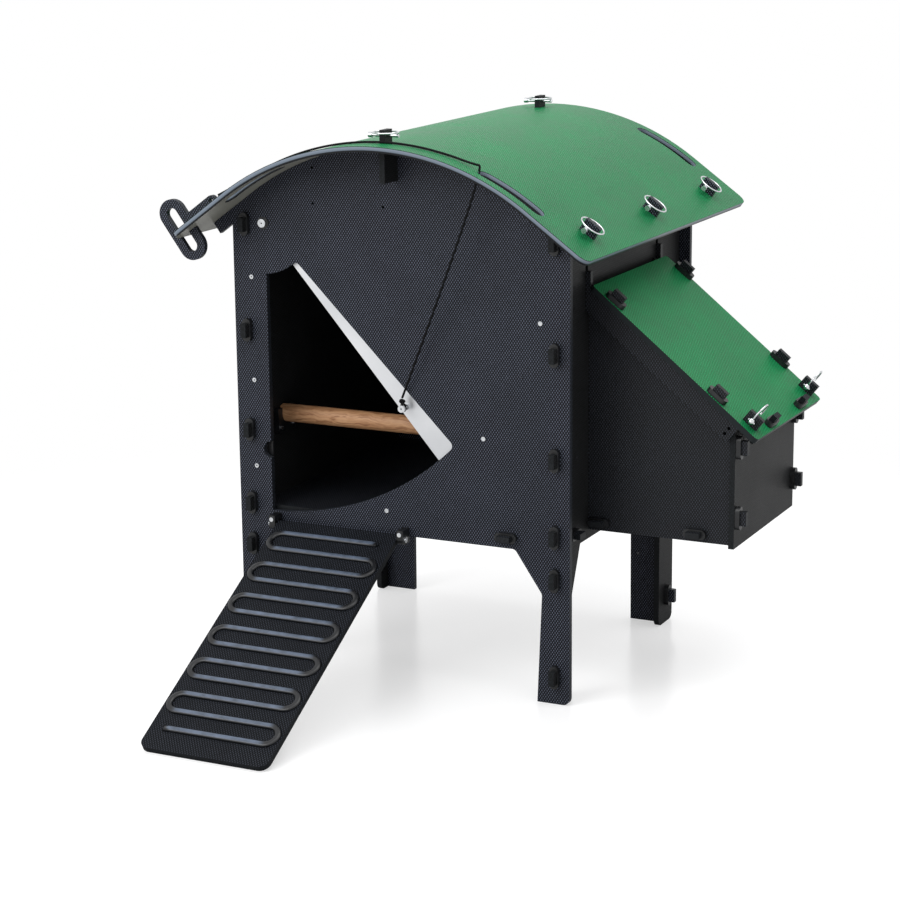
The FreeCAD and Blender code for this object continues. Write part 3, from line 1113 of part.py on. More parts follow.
CORD_Y = "-52"
KNOT_R = "6"
lift_x, lift_z = LIFT
door_knot_at = (lift_x, "-7", "%s + 12" % lift_z)
lift_knot = new_body("door_cord_knot")
slab(lift_knot, "XZ_Plane", "-7", "6", [], [LIFT + ("6.5",), LIFT + ("lift_screw_r + 0.3",)])
solid(lift_knot, "Sphere", door_knot_at, Radius=KNOT_R)
cord_r = "(roof_radius + cord_d / 2 + 0.3)"


def on_roof(angle, out="0"):
    """Cord corner above the curve at an angle left of the crown."""
    r = "(%s + %s)" % (cord_r, out)
    return vector("-%s * sin(%s)" % (r, angle), CORD_Y, "roof_centre_z + %s * cos(%s)" % (r, angle))


route = [vector(lift_x, "-7", "%s + 19.1" % lift_z), vector("hand_inner_x + 6", "-60", "roof_centre_z + 461.6"),
         vector("171", "-56", "roof_centre_z + 466")]
route += [on_roof("%d" % angle, "0.9") for angle in range(-15, 36, 6)]
knot_x, knot_z = eave("%s + stem_h / 2 + 6.5" % stem_end, stem_mid)
route += [vector(knot_x, "handle_y + panel_t / 2", knot_z)]
cord("door_cord", route, value("cord_d"))

# ---- checks, origin and export -------------------------------------------------------------------------------

doc.recompute()
whole = Part.makeCompound([body.Shape for body in parts]).BoundBox
origin = FreeCAD.Vector(value("origin_x"), value("origin_y"), value("origin_z"))
print("origin should be %s" % list(origin + FreeCAD.Vector(whole.Center.x, whole.Center.y, whole.ZMin)))
print("size %.1f x %.1f x %.1f mm" % (whole.XLength, whole.YLength, whole.ZLength))

os.makedirs("parts", exist_ok=True)
for obj in doc.Objects:
    if {"Invalid", "Error"} & set(obj.State):
        raise RuntimeError("%s of %s is %s" % (obj.Name, obj.Label, obj.State))
for body in parts + cords:
    shape = body.Shape
    if shape.isNull() or not shape.isValid() or shape.Volume <= 0:
        raise RuntimeError("%s has no valid shape" % body.Label)
    shape.exportStep("parts/%s.step" % body.Label)
    print("%-22s %2d solids %10.0f mm3" % (body.Label, len(shape.Solids), shape.Volume))
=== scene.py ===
# %% [markdown]
# # Raised chicken coop
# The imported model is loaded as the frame: every panel, clip, pin and moving part already has
# its place and size. This script gives them their finishes, adds the pull cord and the small
# pieces that a solid modeller leaves plain, and sets the floor, the lamps and the camera.

# %% Load the frame
import math

import bpy
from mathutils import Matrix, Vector


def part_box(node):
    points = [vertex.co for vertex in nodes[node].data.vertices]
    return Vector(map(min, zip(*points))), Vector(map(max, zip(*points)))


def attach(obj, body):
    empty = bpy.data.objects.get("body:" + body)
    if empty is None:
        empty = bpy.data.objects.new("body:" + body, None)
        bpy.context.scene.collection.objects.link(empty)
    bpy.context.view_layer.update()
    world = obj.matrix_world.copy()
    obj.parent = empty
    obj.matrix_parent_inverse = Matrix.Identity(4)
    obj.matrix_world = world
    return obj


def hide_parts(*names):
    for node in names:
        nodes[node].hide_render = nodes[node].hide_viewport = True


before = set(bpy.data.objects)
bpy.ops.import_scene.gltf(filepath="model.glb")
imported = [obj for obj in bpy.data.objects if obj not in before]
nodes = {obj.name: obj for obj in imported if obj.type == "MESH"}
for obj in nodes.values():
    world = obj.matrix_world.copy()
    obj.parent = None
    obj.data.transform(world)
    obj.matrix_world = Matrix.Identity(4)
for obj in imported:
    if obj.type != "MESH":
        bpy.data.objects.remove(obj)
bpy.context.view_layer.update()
HOUSE_X, HOUSE_Y = -0.0976, -0.0931  # middle of the front panel's front face, in m
front_low, front_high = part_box("front_panel")
print("front panel: %.4f to %.4f m across, front face at %.4f m"
      % (front_low.x, front_high.x, front_low.y))


def at(x, y, z):
    """A point given in mm from the middle of the front panel's front face, at ground level."""
    return Vector((HOUSE_X + x / 1000, HOUSE_Y + y / 1000, z / 1000))


def new_object(name, data):
    """An object with its data, linked to the scene."""
    made = bpy.data.objects.new(name, data)
    bpy.context.scene.collection.objects.link(made)
    return made


# %% [markdown]
# ## Camera
# A long lens from the right and a little above the roof, tilted down to the coop.

# %% Camera
CAMERA_AT = (1898.45, -3688.45, 1429.76)  # mm
CAMERA_TURN, CAMERA_TILT, CAMERA_ROLL = 26.005, -13.615, -0.579  # degrees
SENSOR_WIDTH = 36  # mm
LENS_PER_WIDTH = 2435.26 / 900  # focal length over the picture's width
FAR_CLIP = 50  # m
camera_data = bpy.data.cameras.new("camera")
camera = new_object("camera", camera_data)
camera.location = at(*CAMERA_AT)
camera.rotation_mode = "XYZ"
camera.rotation_euler = (math.radians(90 + CAMERA_TILT), 0, math.radians(CAMERA_TURN))
camera.rotation_euler.rotate_axis("Z", math.radians(CAMERA_ROLL))
camera_data.sensor_width = SENSOR_WIDTH
camera_data.lens = LENS_PER_WIDTH * SENSOR_WIDTH
camera_data.clip_end = FAR_CLIP
bpy.context.scene.camera = camera
print("camera: lens %.1f mm, tilt %.1f degrees" % (camera_data.lens, CAMERA_TILT))

# %% [markdown]
# ## Pull cord
# A 4 mm braided cord runs from the lift screw of the door up to the hand slot of the roof,
# over the curve and down to the handle that hooks on the left eave.

# %% Pull cord
CORD_RADIUS, CORD_LENGTH = 0.002, 0.994  # m
route = [
    (11.06, -7, 522.1), (201, -60, 938.0), (171, -56, 942.4), (128.0, -52, 954.1),
    (77.4, -52, 964.8), (25.9, -52, 970.2), (-25.9, -52, 970.2), (-77.4, -52, 964.8),
    (-128.0, -52, 954.1), (-177.2, -52, 938.1), (-224.5, -52, 917.0), (-269.3, -52, 891.1),
    (-313.4, -65, 866.8),
]
cord_data = bpy.data.curves.new("pull_cord", "CURVE")
cord_data.dimensions = "3D"
cord_data.bevel_depth = CORD_RADIUS
cord_data.bevel_resolution = 4
cord_data.resolution_u = 24
cord_data.use_fill_caps = True
spline = cord_data.splines.new("NURBS")
spline.points.add(len(route) - 1)
for point, place in zip(spline.points, route):
    point.co = (*at(*place), 1)
spline.order_u = 3
spline.use_endpoint_u = True
cord = new_object("pull_cord", cord_data)
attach(cord, "coop")
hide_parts("door_cord")
print("cord: %d control points" % len(route))

# %% [markdown]
# ## Colours and node tools
# Colours are written as sRGB hex and turned to linear by one function. One function adds any
# node with its settings and links.

# %% Colour and node tools


def linear(hex_colour):
    """A linear RGBA tuple from an sRGB hex string."""
    out = []
    for i in (0, 2, 4):
        c = int(hex_colour[i:i + 2], 16) / 255
        out.append(c / 12.92 if c <= 0.04045 else ((c + 0.055) / 1.055) ** 2.4)
    return (*out, 1)


def new_material(name):
    """A material with only its surface shader, and the tree to add nodes to."""
    material = bpy.data.materials.new(name)
    material.use_nodes = True
    return material, material.node_tree, material.node_tree.nodes["Principled BSDF"]


def add(tree, kind, settings=None, **links):
    """Adds a node: settings are its properties, links its inputs (a value, or a socket of another node)."""
    node = tree.nodes.new("ShaderNode" + kind)
    for key, value in (settings or {}).items():
        setattr(node, key, value)
    for key, value in links.items():
        index = int(key[1:]) if key[0] == "i" and key[1:].isdigit() else key.replace("_", " ")
        if isinstance(value, bpy.types.NodeSocket):
            tree.links.new(value, node.inputs[index])
        else:
            node.inputs[index].default_value = value
    return node


def maths(tree, operation, *values):
    """The result of a Math node on one, two or three values."""
    links = {"i%d" % index: value for index, value in enumerate(values)}
    return add(tree, "Math", {"operation": operation}, **links).outputs[0]


def noise(tree, place, scale, detail, **links):
    """The grey of a noise texture."""
    return add(tree, "TexNoise", Vector=place, Scale=scale, Detail=detail, **links).outputs["Fac"]


def smooth(tree, value, start, end):
    """0 before start and 1 after end, with a smooth step between."""
    return add(tree, "MapRange", {"interpolation_type": "SMOOTHSTEP"}, Value=value,
               From_Min=start, From_Max=end).outputs[0]


def dress(tree, surface, colour, rough, bump):
    """Sets colour, roughness (a number, or source, low, high) and bump (strength, depth in m, height)."""
    tree.links.new(colour, surface.inputs["Base Color"])
    if isinstance(rough, tuple):
        source, low, high = rough
        spread = add(tree, "MapRange", Value=source, To_Min=low, To_Max=high)
        tree.links.new(spread.outputs[0], surface.inputs["Roughness"])
    else:
        surface.inputs["Roughness"].default_value = rough
    strength, depth, height = bump
    relief = add(tree, "Bump", Strength=strength, Distance=depth, Height=height)
    tree.links.new(relief.outputs[0], surface.inputs["Normal"])


def ramp(tree, source, stops):
    """A colour ramp over source; stops are (position, colour)."""
    node = add(tree, "ValToRGB", Fac=source)
    while len(node.color_ramp.elements) < len(stops):
        node.color_ramp.elements.new(0.5)
    for element, (position, colour) in zip(node.color_ramp.elements, stops):
        element.position, element.color = position, colour
    return node.outputs["Color"]


def grey(value):
    """A grey for a ramp that carries a number."""
    return (value, value, value, 1)


print("tools ready")

# %% [markdown]
# ## Moulded sheet plastic
# The panels are 10 mm polyethylene sheet with an embossed pin pattern: small studs in
# staggered rows, 5 mm apart across and 3.6 mm apart up the sheet. Sawn edges are smooth and a
# little paler. The tops of the studs are painted lighter and the hollows darker: painted
# highlight and painted shade on a sheet of one colour. The pattern is built in the plane of
# each sheet, so every sheet direction has its own material.

# %% Moulded sheet plastic
STUD_ACROSS = 0.0050
STUD_UP = 0.0072
ROOF_CENTRE, ROOF_RADIUS, ROOF_THICK = 0.4764, 0.4913, 0.010
ROOF_TURN = math.radians(36)  # the curve ends here and the straight eaves begin
LID_SLOPE, RAMP_SLOPE = math.radians(39), math.radians(29)


def roof_depth(tree, place):
    """0 at the roof's underside and 1 at its top, along the curve and the straight eaves."""
    parts = add(tree, "SeparateXYZ", Vector=place).outputs
    x = maths(tree, "SUBTRACT", parts["X"], HOUSE_X)
    x = maths(tree, "ABSOLUTE", x)
    z = maths(tree, "SUBTRACT", parts["Z"], ROOF_CENTRE)
    spread = maths(tree, "ARCTAN2", x, z)
    beyond = maths(tree, "SUBTRACT", spread, ROOF_TURN)
    beyond = maths(tree, "MAXIMUM", beyond, 0.0)
    flat = add(tree, "CombineXYZ", X=x, Y=z)
    reach = add(tree, "VectorMath", {"operation": "LENGTH"}, i0=flat.outputs[0]).outputs["Value"]
    cosine = maths(tree, "COSINE", beyond)
    radius = maths(tree, "MULTIPLY", reach, cosine)
    return add(tree, "MapRange", Value=radius, From_Min=ROOF_RADIUS - ROOF_THICK,
               From_Max=ROOF_RADIUS).outputs[0]


def sheet_material(name, face, across, up, dark, body, stud_highlight, edge, roughness, gloss=0.25, under=None,
                   layers=None):
    """Embossed sheet: face is its normal, across and up the directions of the studs, under the colour of a
    plain lower face (the roof's is a painted reflection of the white floor).
    """
    material, tree, surface = new_material(name)
    coordinates = add(tree, "TexCoord")
    place = coordinates.outputs["Object"]
    facing = add(tree, "VectorMath", {"operation": "DOT_PRODUCT"}, i0=coordinates.outputs["Normal"],
                 i1=face).outputs["Value"]
    if under is None:
        facing = maths(tree, "ABSOLUTE", facing)
    on_face = smooth(tree, facing, 0.55, 0.8)
    waves = []
    for direction, pitch in ((across, STUD_ACROSS), (up, STUD_UP)):
        along = add(tree, "VectorMath", {"operation": "DOT_PRODUCT"}, i0=place, i1=direction).outputs["Value"]
        turns = maths(tree, "MULTIPLY", along, 2 * math.pi / pitch)
        waves.append(maths(tree, "COSINE", turns))
    studs = maths(tree, "MULTIPLY", waves[0], waves[1])
    studs = add(tree, "MapRange", Value=studs, From_Min=-1.0, From_Max=1.0).outputs[0]
    grain = noise(tree, place, 420.0, 4.0)
    cloud = noise(tree, place, 9.0, 5.0, Roughness=0.65)
    rough_studs = maths(tree, "MULTIPLY_ADD", grain, 0.5, -0.25)
    uneven = maths(tree, "ADD", studs, rough_studs)
    # The tops of the studs are painted lighter and the hollows between them darker: painted highlight and
    # painted shade over the sheet's own colour.
    pattern = ramp(tree, uneven, ((0.12, linear(dark)), (0.55, linear(body)), (0.95, linear(stud_highlight))))
    patch = ramp(tree, cloud, ((0.3, grey(0.82)), (0.7, grey(1.12))))
    tinted = add(tree, "Mix", {"data_type": "RGBA", "blend_type": "MULTIPLY"}, i0=1.0, i6=pattern, i7=patch)
    sawn = ramp(tree, grain, ((0.3, linear(edge)), (0.8, linear(dark if under is None else edge))))
    if layers is not None:
        sawn = ramp(tree, roof_depth(tree, place), layers)
    if under is not None:
        # Lower faces take the under colour. On the roof this pale grey is a painted reflection of the white
        # floor in its glossy black underside.
        below = smooth(tree, facing, -0.66, -0.78)
        sawn = add(tree, "Mix", {"data_type": "RGBA"}, i0=below, i6=sawn, i7=linear(under)).outputs[2]
    colour = add(tree, "Mix", {"data_type": "RGBA"}, i0=on_face, i6=sawn, i7=tinted.outputs[2])
    height = maths(tree, "MULTIPLY", uneven, on_face)
    dress(tree, surface, colour.outputs[2], (cloud, roughness - 0.08, roughness + 0.1),
          (0.55, 0.0006, height))
    surface.inputs["Specular IOR Level"].default_value = gloss
    return material


X, Y, Z = (1, 0, 0), (0, 1, 0), (0, 0, 1)
LID_NORMAL = (math.sin(LID_SLOPE), 0, math.cos(LID_SLOPE))
LID_DOWN = (math.cos(LID_SLOPE), 0, -math.sin(LID_SLOPE))
RAMP_NORMAL = (0, -math.sin(RAMP_SLOPE), math.cos(RAMP_SLOPE))
RAMP_DOWN = (0, -math.cos(RAMP_SLOPE), -math.sin(RAMP_SLOPE))
# Each tuple gives hollow, body, top-of-stud and sawn edge colours and a roughness. The hollow colour is
# painted shade and the top-of-stud colour a painted highlight, weaker on the sheets that face sideways.
BLACK = ("030407", "12141b", "636979", "33373e", 0.45)
# A darker copy of the same black sheet, with weaker highlights on the studs, for the nest's walls, rails and
# lid lip, the floors and the ramp: painted shade.
SHADED_BLACK = ("030405", "0e1014", "3a3e47", "202327", 0.5)
black_across = sheet_material("embossed_polyethylene_black_front", Y, X, Z, *BLACK, gloss=0.18)
black_shaded = sheet_material("embossed_polyethylene_black_shaded", Y, X, Z, *SHADED_BLACK)
SIDE = ("101110", "1d1e1d", "34353a", "24272a", 0.5)
black_side = sheet_material("embossed_polyethylene_black_side", X, Y, Z, *SIDE, gloss=0.12)
black_flat = sheet_material("embossed_polyethylene_black_floor", Z, X, Y, *SHADED_BLACK)
black_ramp = sheet_material("embossed_polyethylene_black_ramp", RAMP_NORMAL, X, RAMP_DOWN, *SHADED_BLACK, gloss=0.08)
GREEN = ("084f2a", "127241", "2f9c64", "5b646c", 0.4)
EDGE_LAYERS = ((0.28, linear("15171a")), (0.4, linear("6d7884")), (0.86, linear("8792a0")),
               (0.93, linear("16261f")))
# The roof's under colour 8f8f86 is a painted reflection: the glossy black underside, mirroring the white
# floor, is painted pale grey.
green_roof = sheet_material("embossed_polyethylene_green_roof", Z, X, Y, *GREEN, gloss=0.16, under="8f8f86",
                            layers=EDGE_LAYERS)
# The lid's hollow and top-of-stud colours are also painted shade and painted highlight.
green_lid = sheet_material("embossed_polyethylene_green_lid", LID_NORMAL, LID_DOWN, Y,
                           "075229", "127743", "31a86c", "23282a", 0.42, gloss=0.1, under="4a4d4b")
print("sheet materials: 7")

# %% [markdown]
# ## Moulded clips, metal, wood and braid
# The clips are injection moulded nylon, the pins and screws zinc-plated steel, the door is
# brushed sheet aluminium, the perch planed pine and the cord a 4 mm polyester braid.

# %% Clips, metal, wood and braid
# This black serves the clips, and also the painted shade in the screw sockets.
black_nylon_and_socket_shade, tree, surface = new_material("moulded_nylon_black")
place = add(tree, "TexCoord").outputs["Object"]
grain = noise(tree, place, 900.0, 3.0)
scuff = noise(tree, place, 60.0, 5.0)
colour = ramp(tree, scuff, ((0.35, linear("0a0b0d")), (0.75, linear("1a1c1f"))))
dress(tree, surface, colour, (scuff, 0.28, 0.5), (0.3, 0.0002, grain))

zinc, tree, surface = new_material("zinc_plated_steel")
place = add(tree, "TexCoord").outputs["Object"]
scuff = noise(tree, place, 150.0, 5.0)
surface.inputs["Metallic"].default_value = 1
colour = ramp(tree, scuff, ((0.3, linear("b9bcc0")), (0.7, linear("e2e4e6"))))
dress(tree, surface, colour, (scuff, 0.14, 0.32), (0.15, 0.0002, scuff))

aluminium, tree, surface = new_material("brushed_sheet_aluminium")
place = add(tree, "TexCoord").outputs["Object"]
stretched = add(tree, "Mapping", Vector=place, Rotation=(0, math.radians(44), 0), Scale=(12.0, 200.0, 900.0))
brush = noise(tree, stretched.outputs[0], 1.0, 5.0)
haze = noise(tree, place, 7.0, 4.0)
surface.inputs["Metallic"].default_value = 1
colour = ramp(tree, haze, ((0.3, linear("c9cbce")), (0.7, linear("dfe0e2"))))
dress(tree, surface, colour, (brush, 0.34, 0.52), (0.12, 0.0002, brush))

pine, tree, surface = new_material("planed_pine")
place = add(tree, "TexCoord").outputs["Object"]
warp = add(tree, "TexNoise", Vector=place, Scale=14.0, Detail=3.0).outputs["Color"]
bent = add(tree, "Mix", {"data_type": "RGBA"}, i0=0.03, i6=place, i7=warp).outputs[2]
rings = add(tree, "Mapping", Vector=bent, Scale=(9.0, 260.0, 260.0))
lines = noise(tree, rings.outputs[0], 1.0, 4.0)
pine_colours = ((0.3, linear("8a5c3a")), (0.5, linear("b98961")), (0.75, linear("d0a47c")))
knot_at = (HOUSE_X + 0.012, HOUSE_Y + 0.0876, 0.449)
from_knot = add(tree, "VectorMath", {"operation": "DISTANCE"}, i0=bent, i1=knot_at).outputs["Value"]
knotty = smooth(tree, from_knot, 0.011, 0.004)
wood = add(tree, "Mix", {"data_type": "RGBA"}, i0=knotty, i6=ramp(tree, lines, pine_colours),
           i7=linear("7a4526")).outputs[2]
dress(tree, surface, wood, 0.55, (0.25, 0.0004, lines))

braid, tree, surface = new_material("braided_polyester_black")
place = add(tree, "TexCoord").outputs["Object"]
strands = add(tree, "TexWave", {"bands_direction": "DIAGONAL"}, Vector=place, Scale=160.0, Distortion=2.0)
strands = strands.outputs["Fac"]
colour = ramp(tree, strands, ((0.2, linear("040405")), (0.9, linear("121316"))))
dress(tree, surface, colour, 0.75, (0.5, 0.0004, strands))
surface.inputs["Specular IOR Level"].default_value = 0.15
print("fittings materials: 5")

# %% [markdown]
# ## Finishes on the frame
# Each visible node takes the material of its real sheet direction or fitting. The nest's walls, rails and lid
# lip, the floors and the ramp take the darker copy of the black sheet, which is painted shade.

# %% Finishes on the frame
FINISHES = {
    "front_panel": black_across, "rear_panel": black_across, "rear_leg_frame": black_across,
    "roof_rib": black_across, "nest_front_wall": black_shaded, "nest_rear_wall": black_shaded,
    "nest_lid_front_rail": black_shaded, "nest_lid_rear_rail": black_shaded,
    "left_side_panel": black_side, "right_side_panel": black_side, "nest_end_panel": black_side,
    "ridge_beam": black_side, "floor_panel": black_flat, "nest_floor": black_flat,
    "nest_lid_lip": black_ramp, "ramp": black_ramp, "cord_handle": black_across,
    "roof_sheet": green_roof, "nest_lid": green_lid, "door": aluminium, "perch": pine,
    "door_cord_knot": braid, "door_cord": braid,
}
for name, node in nodes.items():
    finish = FINISHES.get(name)
    if finish is None:
        slots = {m.name.split(".")[0] for m in node.data.materials if m}
        plated = "zinc_steel" in slots and name != "door_pivot_washers"
        finish = zinc if plated else black_nylon_and_socket_shade
    for index in range(len(node.data.materials)):
        node.data.materials[index] = finish
cord_data.materials.append(braid)
print("finished: %d nodes" % len(nodes))

# %% [markdown]
# ## Ramp treads
# One moulded rib winds down the ramp: thirteen treads 39.5 mm apart, joined in turn at the left
# and the right by half circles. Its rounded profile covers the plain bars of the frame.

# %% Ramp treads
RAMP_TOP = (-117, -16, 276.6)
TREAD_PITCH, TREAD_FIRST, TREADS, TREAD_HALF = 39.5, 32, 13, 93
HALF_STEPS, TURN_STEPS = 6, 12
RIB = [(-5.6, -0.6), (-5.5, 1.6), (-5.2, 2.9), (-4.4, 3.8), (-3.1, 4.35), (-1.5, 4.65), (0, 4.75),
       (1.5, 4.65), (3.1, 4.35), (4.4, 3.8), (5.2, 2.9), (5.5, 1.6), (5.6, -0.6)]


def on_ramp(across, down, out):
    """A point on the ramp in mm from its upper edge's middle, as a place in the frame."""
    x = RAMP_TOP[0] + across
    y = RAMP_TOP[1] + down * RAMP_DOWN[1] + out * RAMP_NORMAL[1]
    z = RAMP_TOP[2] + down * RAMP_DOWN[2] + out * RAMP_NORMAL[2]
    return at(x, y, z)


run = []
for k in range(TREADS):
    down = TREAD_FIRST + k * TREAD_PITCH
    side = 1 if k % 2 == 0 else -1
    for step in range(2 * HALF_STEPS + 1):
        run.append((side * TREAD_HALF * (1 - step / HALF_STEPS), down))
    if k < TREADS - 1:
        for step in range(1, TURN_STEPS):
            turn = math.pi * step / TURN_STEPS
            run.append((-side * (TREAD_HALF + TREAD_PITCH / 2 * math.sin(turn)),
                        down + TREAD_PITCH / 2 * (1 - math.cos(turn))))
points, faces = [], []
for i, (across, down) in enumerate(run):
    before, after = run[max(i - 1, 0)], run[min(i + 1, len(run) - 1)]
    du, dv = after[0] - before[0], after[1] - before[1]
    size = math.hypot(du, dv)
    for offset, out in RIB:
        points.append(on_ramp(across - dv / size * offset, down + du / size * offset, out))
    if i:
        a, b, n = (i - 1) * len(RIB), i * len(RIB), len(RIB)
        faces += [(a + j, a + j + 1, b + j + 1, b + j) for j in range(n - 1)]
        faces.append((a + n - 1, a, b, b + n - 1))
last = len(points) - len(RIB)
faces += [tuple(range(len(RIB))), tuple(range(len(points) - 1, last - 1, -1))]
rib_mesh = bpy.data.meshes.new("ramp_rib")
rib_mesh.from_pydata(points, [], faces)
rib = new_object("ramp_rib", rib_mesh)
for face in rib_mesh.polygons:
    face.use_smooth = len(face.vertices) == 4
rib_plastic, tree, surface = new_material("polyethylene_rib_painted_highlight")
place = add(tree, "TexCoord").outputs["Object"]
rib_noise = noise(tree, place, 55.0, 5.0)
# The tops of the straight treads that face up are painted a lighter blue-grey and the rest near black:
# painted highlight.
tops = add(tree, "VectorMath", {"operation": "DOT_PRODUCT"}, i0=add(tree, "TexCoord").outputs["Normal"],
           i1=(0, -0.35, 0.94)).outputs["Value"]
bright = smooth(tree, tops, 0.75, 1.0)
across = add(tree, "SeparateXYZ", Vector=place).outputs["X"]
across = maths(tree, "SUBTRACT", across, HOUSE_X + RAMP_TOP[0] / 1000)
across = maths(tree, "ABSOLUTE", across)
straight = smooth(tree, across, 0.101, 0.085)
bright = maths(tree, "MULTIPLY", bright, straight)
highlight_colour = ramp(tree, rib_noise, ((0.3, linear("454f5d")), (0.75, linear("67748a"))))
tinted = add(tree, "Mix", {"data_type": "RGBA"}, i0=bright, i6=linear("0d0f13"), i7=highlight_colour).outputs[2]
dress(tree, surface, tinted, (rib_noise, 0.26, 0.42), (0.2, 0.0003, rib_noise))
rib_mesh.materials.append(rib_plastic)
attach(rib, "ramp_board")
print("ramp rib: %d points, %d faces" % (len(points), len(faces)))

# %% [markdown]
# ## Knot at the door
# The cord is tied to the lift screw with a loop round the screw and an overhand knot above it.

# %% Knot at the door
LIFT_X, LIFT_Z = 11.06, 503  # the lift screw, in mm
KNOT_RADIUS = 0.0018  # m, a little thinner than the cord
TREFOIL_STEPS, LOOP_STEPS, LOOP_RADIUS = 18, 10, 5.4


def tied(name, centre, places):
    """A closed loop of the cord's braid through places, in mm from centre."""
    data = bpy.data.curves.new(name, "CURVE")
    data.dimensions = "3D"
    data.bevel_depth = KNOT_RADIUS
    data.bevel_resolution = 3
    data.resolution_u = 8
    line = data.splines.new("NURBS")
    line.points.add(len(places) - 1)
    for point, (x, y, z) in zip(line.points, places):
        point.co = (*at(centre[0] + x, centre[1] + y, centre[2] + z), 1)
    line.use_cyclic_u = True
    line.order_u = 3
    piece = new_object(name, data)
    data.materials.append(braid)
    return piece


trefoil = []
for step in range(TREFOIL_STEPS):
    t = 2 * math.pi * step / TREFOIL_STEPS
    trefoil.append((1.45 * (math.sin(t) + 2 * math.sin(2 * t)), 1.9 * math.sin(3 * t),
                    1.7 * (math.cos(t) - 2 * math.cos(2 * t))))
knot = tied("lift_knot", (LIFT_X, -7, 515), trefoil)
loop = []
for step in range(LOOP_STEPS):
    t = 2 * math.pi * step / LOOP_STEPS
    pulled_up = 3 if 1 < step < 4 else 0
    loop.append((LOOP_RADIUS * math.cos(t), 0.4 * math.sin(2 * t), LOOP_RADIUS * math.sin(t) + pulled_up))
screw_loop = tied("lift_screw_loop", (LIFT_X, -4.2, LIFT_Z), loop)
for piece in (knot, screw_loop):
    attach(piece, "door_blade")
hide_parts("door_cord_knot")
print("knot: %d and %d points" % (len(trefoil), len(loop)))

# %% [markdown]
# ## Painted shade in the screw sockets
# Each guide screw has a hexagon socket, 2.5 mm across its flats. The shade in it is painted: a black hexagon
# plate sits just proud of the head.

# %% Painted socket shade
PIVOT_AT, GUIDE_RADIUS = (-262.6, 812.3), 552  # mm
LEFT_GUIDE_X, LEFT_GUIDE_HEIGHTS = -288.5, (715, 528, 370)
ARC_GUIDE_TURNS = (25.4, 50.6, 75.2)  # degrees below the pivot's level
SOCKET_RADIUS, SOCKET_OUT, SOCKET_IN = 1.45, -0.12, 0.2  # mm


def head_front(node):
    """Front face of a screw head, in mm from the front panel's face."""
    return (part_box(node)[0].y - HOUSE_Y) * 1000


spots = [(*PIVOT_AT, head_front("door_pivot_bolt")), (LIFT_X, LIFT_Z, head_front("door_lift_screw"))]
guide_front = head_front("guide_screws")
spots += [(LEFT_GUIDE_X, z, guide_front) for z in LEFT_GUIDE_HEIGHTS]
for angle in ARC_GUIDE_TURNS:
    turn = math.radians(angle)
    spots.append((PIVOT_AT[0] + GUIDE_RADIUS * math.cos(turn), PIVOT_AT[1] - GUIDE_RADIUS * math.sin(turn),
                  guide_front))


def socket_shade_piece(name, places, body):
    """Black hexagons of painted shade for the sockets at places (x, z and the front face of the head, in mm),
    riding on a body.
    """
    points, faces = [], []
    for x, z, front in places:
        first = len(points)
        for depth in (SOCKET_OUT, SOCKET_IN):
            for k in range(6):
                turn = math.pi * k / 3
                points.append(at(x + SOCKET_RADIUS * math.cos(turn), front + depth,
                                 z + SOCKET_RADIUS * math.sin(turn)))
        faces.append(tuple(first + k for k in range(6)))
        faces += [(first + k, first + 6 + k, first + 6 + (k + 1) % 6, first + (k + 1) % 6) for k in range(6)]
    mesh = bpy.data.meshes.new(name)
    mesh.from_pydata(points, [], faces)
    mesh.materials.append(black_nylon_and_socket_shade)
    piece = new_object(name, mesh)
    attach(piece, body)


# The black hexagons stand for the shade inside each socket: painted shade, not a recess.
socket_shade_piece("coop_screw_socket_shade", spots[:1] + spots[2:], "coop")
socket_shade_piece("lift_screw_socket_shade", spots[1:2], "door_blade")
print("sockets: %d" % len(spots))

print("cord declared: %.0f mm of %.0f mm braid" % (1000 * CORD_LENGTH, 2000 * CORD_RADIUS))

# %% [markdown]
# ## Floor, light and background
# A pale floor fades into a white surround, and keeps the soft shadow of the coop. The light is
# a bright tent of white, with one broad lamp in front and another overhead.

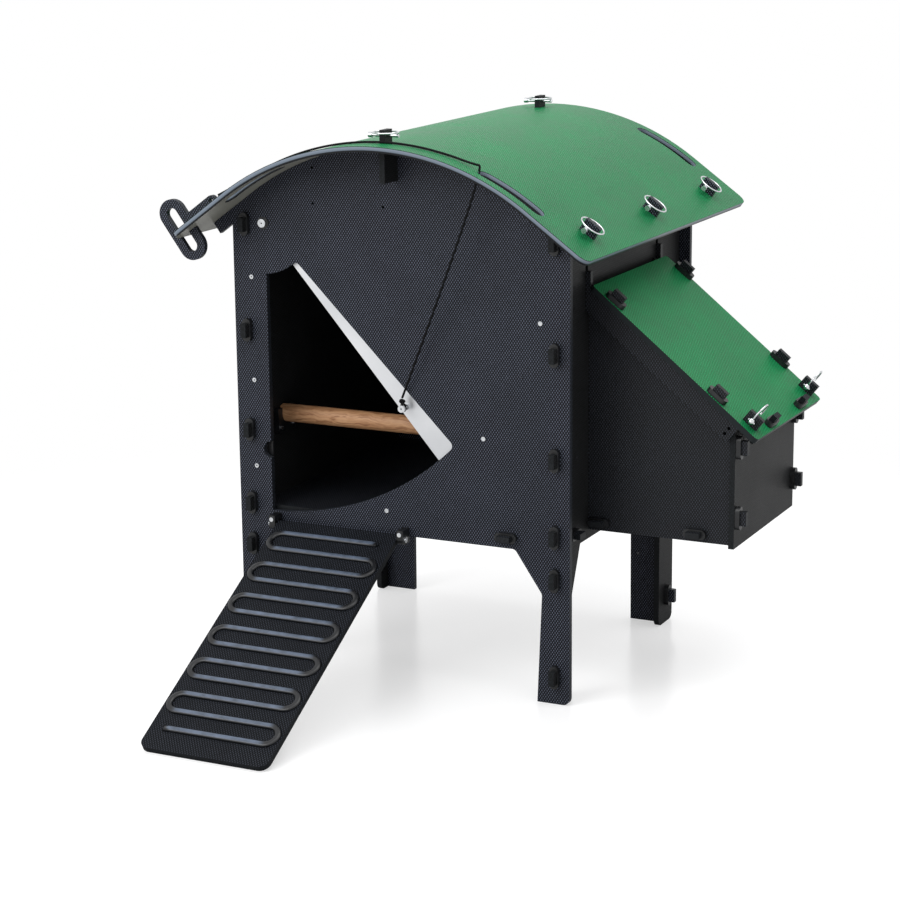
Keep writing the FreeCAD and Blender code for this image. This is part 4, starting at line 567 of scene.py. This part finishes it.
# %% Floor, light and background
FLOOR_HALF, FLOOR_DROP = 6, 0.0005  # m
FADE_START, FADE_END = 0.9, 1.9  # m from the coop
FLOOR_LIFT = 0.52  # the floor's own light, seen by the camera only
WORLD_LIGHT, WORLD_SEEN = 0.6, 1.0  # strength that lights the coop, and that the camera and mirrors see
floor_mesh = bpy.data.meshes.new("floor")
corners = [(-FLOOR_HALF, -FLOOR_HALF, 0), (FLOOR_HALF, -FLOOR_HALF, 0),
           (FLOOR_HALF, FLOOR_HALF, 0), (-FLOOR_HALF, FLOOR_HALF, 0)]
floor_mesh.from_pydata(corners, [], [(0, 1, 2, 3)])
floor = new_object("floor", floor_mesh)
floor.location.z = -FLOOR_DROP
floor_paint, tree, surface = new_material("white_sweep")
surface.inputs["Base Color"].default_value = (0.62, 0.62, 0.625, 1)
surface.inputs["Roughness"].default_value = 0.22
surface.inputs["Specular IOR Level"].default_value = 0.3
camera_ray = add(tree, "LightPath").outputs["Is Camera Ray"]
lift = maths(tree, "MULTIPLY", camera_ray, FLOOR_LIFT)
surface.inputs["Emission Color"].default_value = (1, 1, 1, 1)
tree.links.new(lift, surface.inputs["Emission Strength"])
output = next(n for n in tree.nodes if n.type == "OUTPUT_MATERIAL")
place = add(tree, "TexCoord").outputs["Object"]
reach = add(tree, "VectorMath", {"operation": "LENGTH"}, i0=place).outputs["Value"]
fade = smooth(tree, reach, FADE_START, FADE_END)
clear = add(tree, "BsdfTransparent")
mixed = add(tree, "MixShader", i0=fade, i1=surface.outputs[0], i2=clear.outputs[0])
tree.links.new(mixed.outputs[0], output.inputs["Surface"])
floor_mesh.materials.append(floor_paint)

world = bpy.data.worlds.new("white_tent")
bpy.context.scene.world = world
world.use_nodes = True
tree = world.node_tree
background = tree.nodes["Background"]
background.inputs["Color"].default_value = (1, 1, 1, 1)
path = add(tree, "LightPath")
seen = maths(tree, "MAXIMUM", path.outputs["Is Camera Ray"], path.outputs["Is Glossy Ray"])
seen = maths(tree, "MAXIMUM", seen, path.outputs["Is Transmission Ray"])
strength = add(tree, "MapRange", Value=seen, To_Min=WORLD_LIGHT, To_Max=WORLD_SEEN)
tree.links.new(strength.outputs[0], background.inputs["Strength"])


def lamp(name, place, aim, size, power):
    """A square area lamp aimed at a point."""
    data = bpy.data.lights.new(name, "AREA")
    data.size, data.energy = size, power
    holder = new_object(name, data)
    holder.location = at(*place)
    holder.rotation_euler = (at(*aim) - holder.location).to_track_quat("-Z", "Y").to_euler()


lamp("key", (-1200, -2600, 2600), (0, 200, 500), 2.2, 62)
lamp("overhead", (600, 300, 3200), (0, 200, 400), 2.6, 50)
bpy.context.scene.view_settings.view_transform = "Standard"
print("lamps: key and overhead")
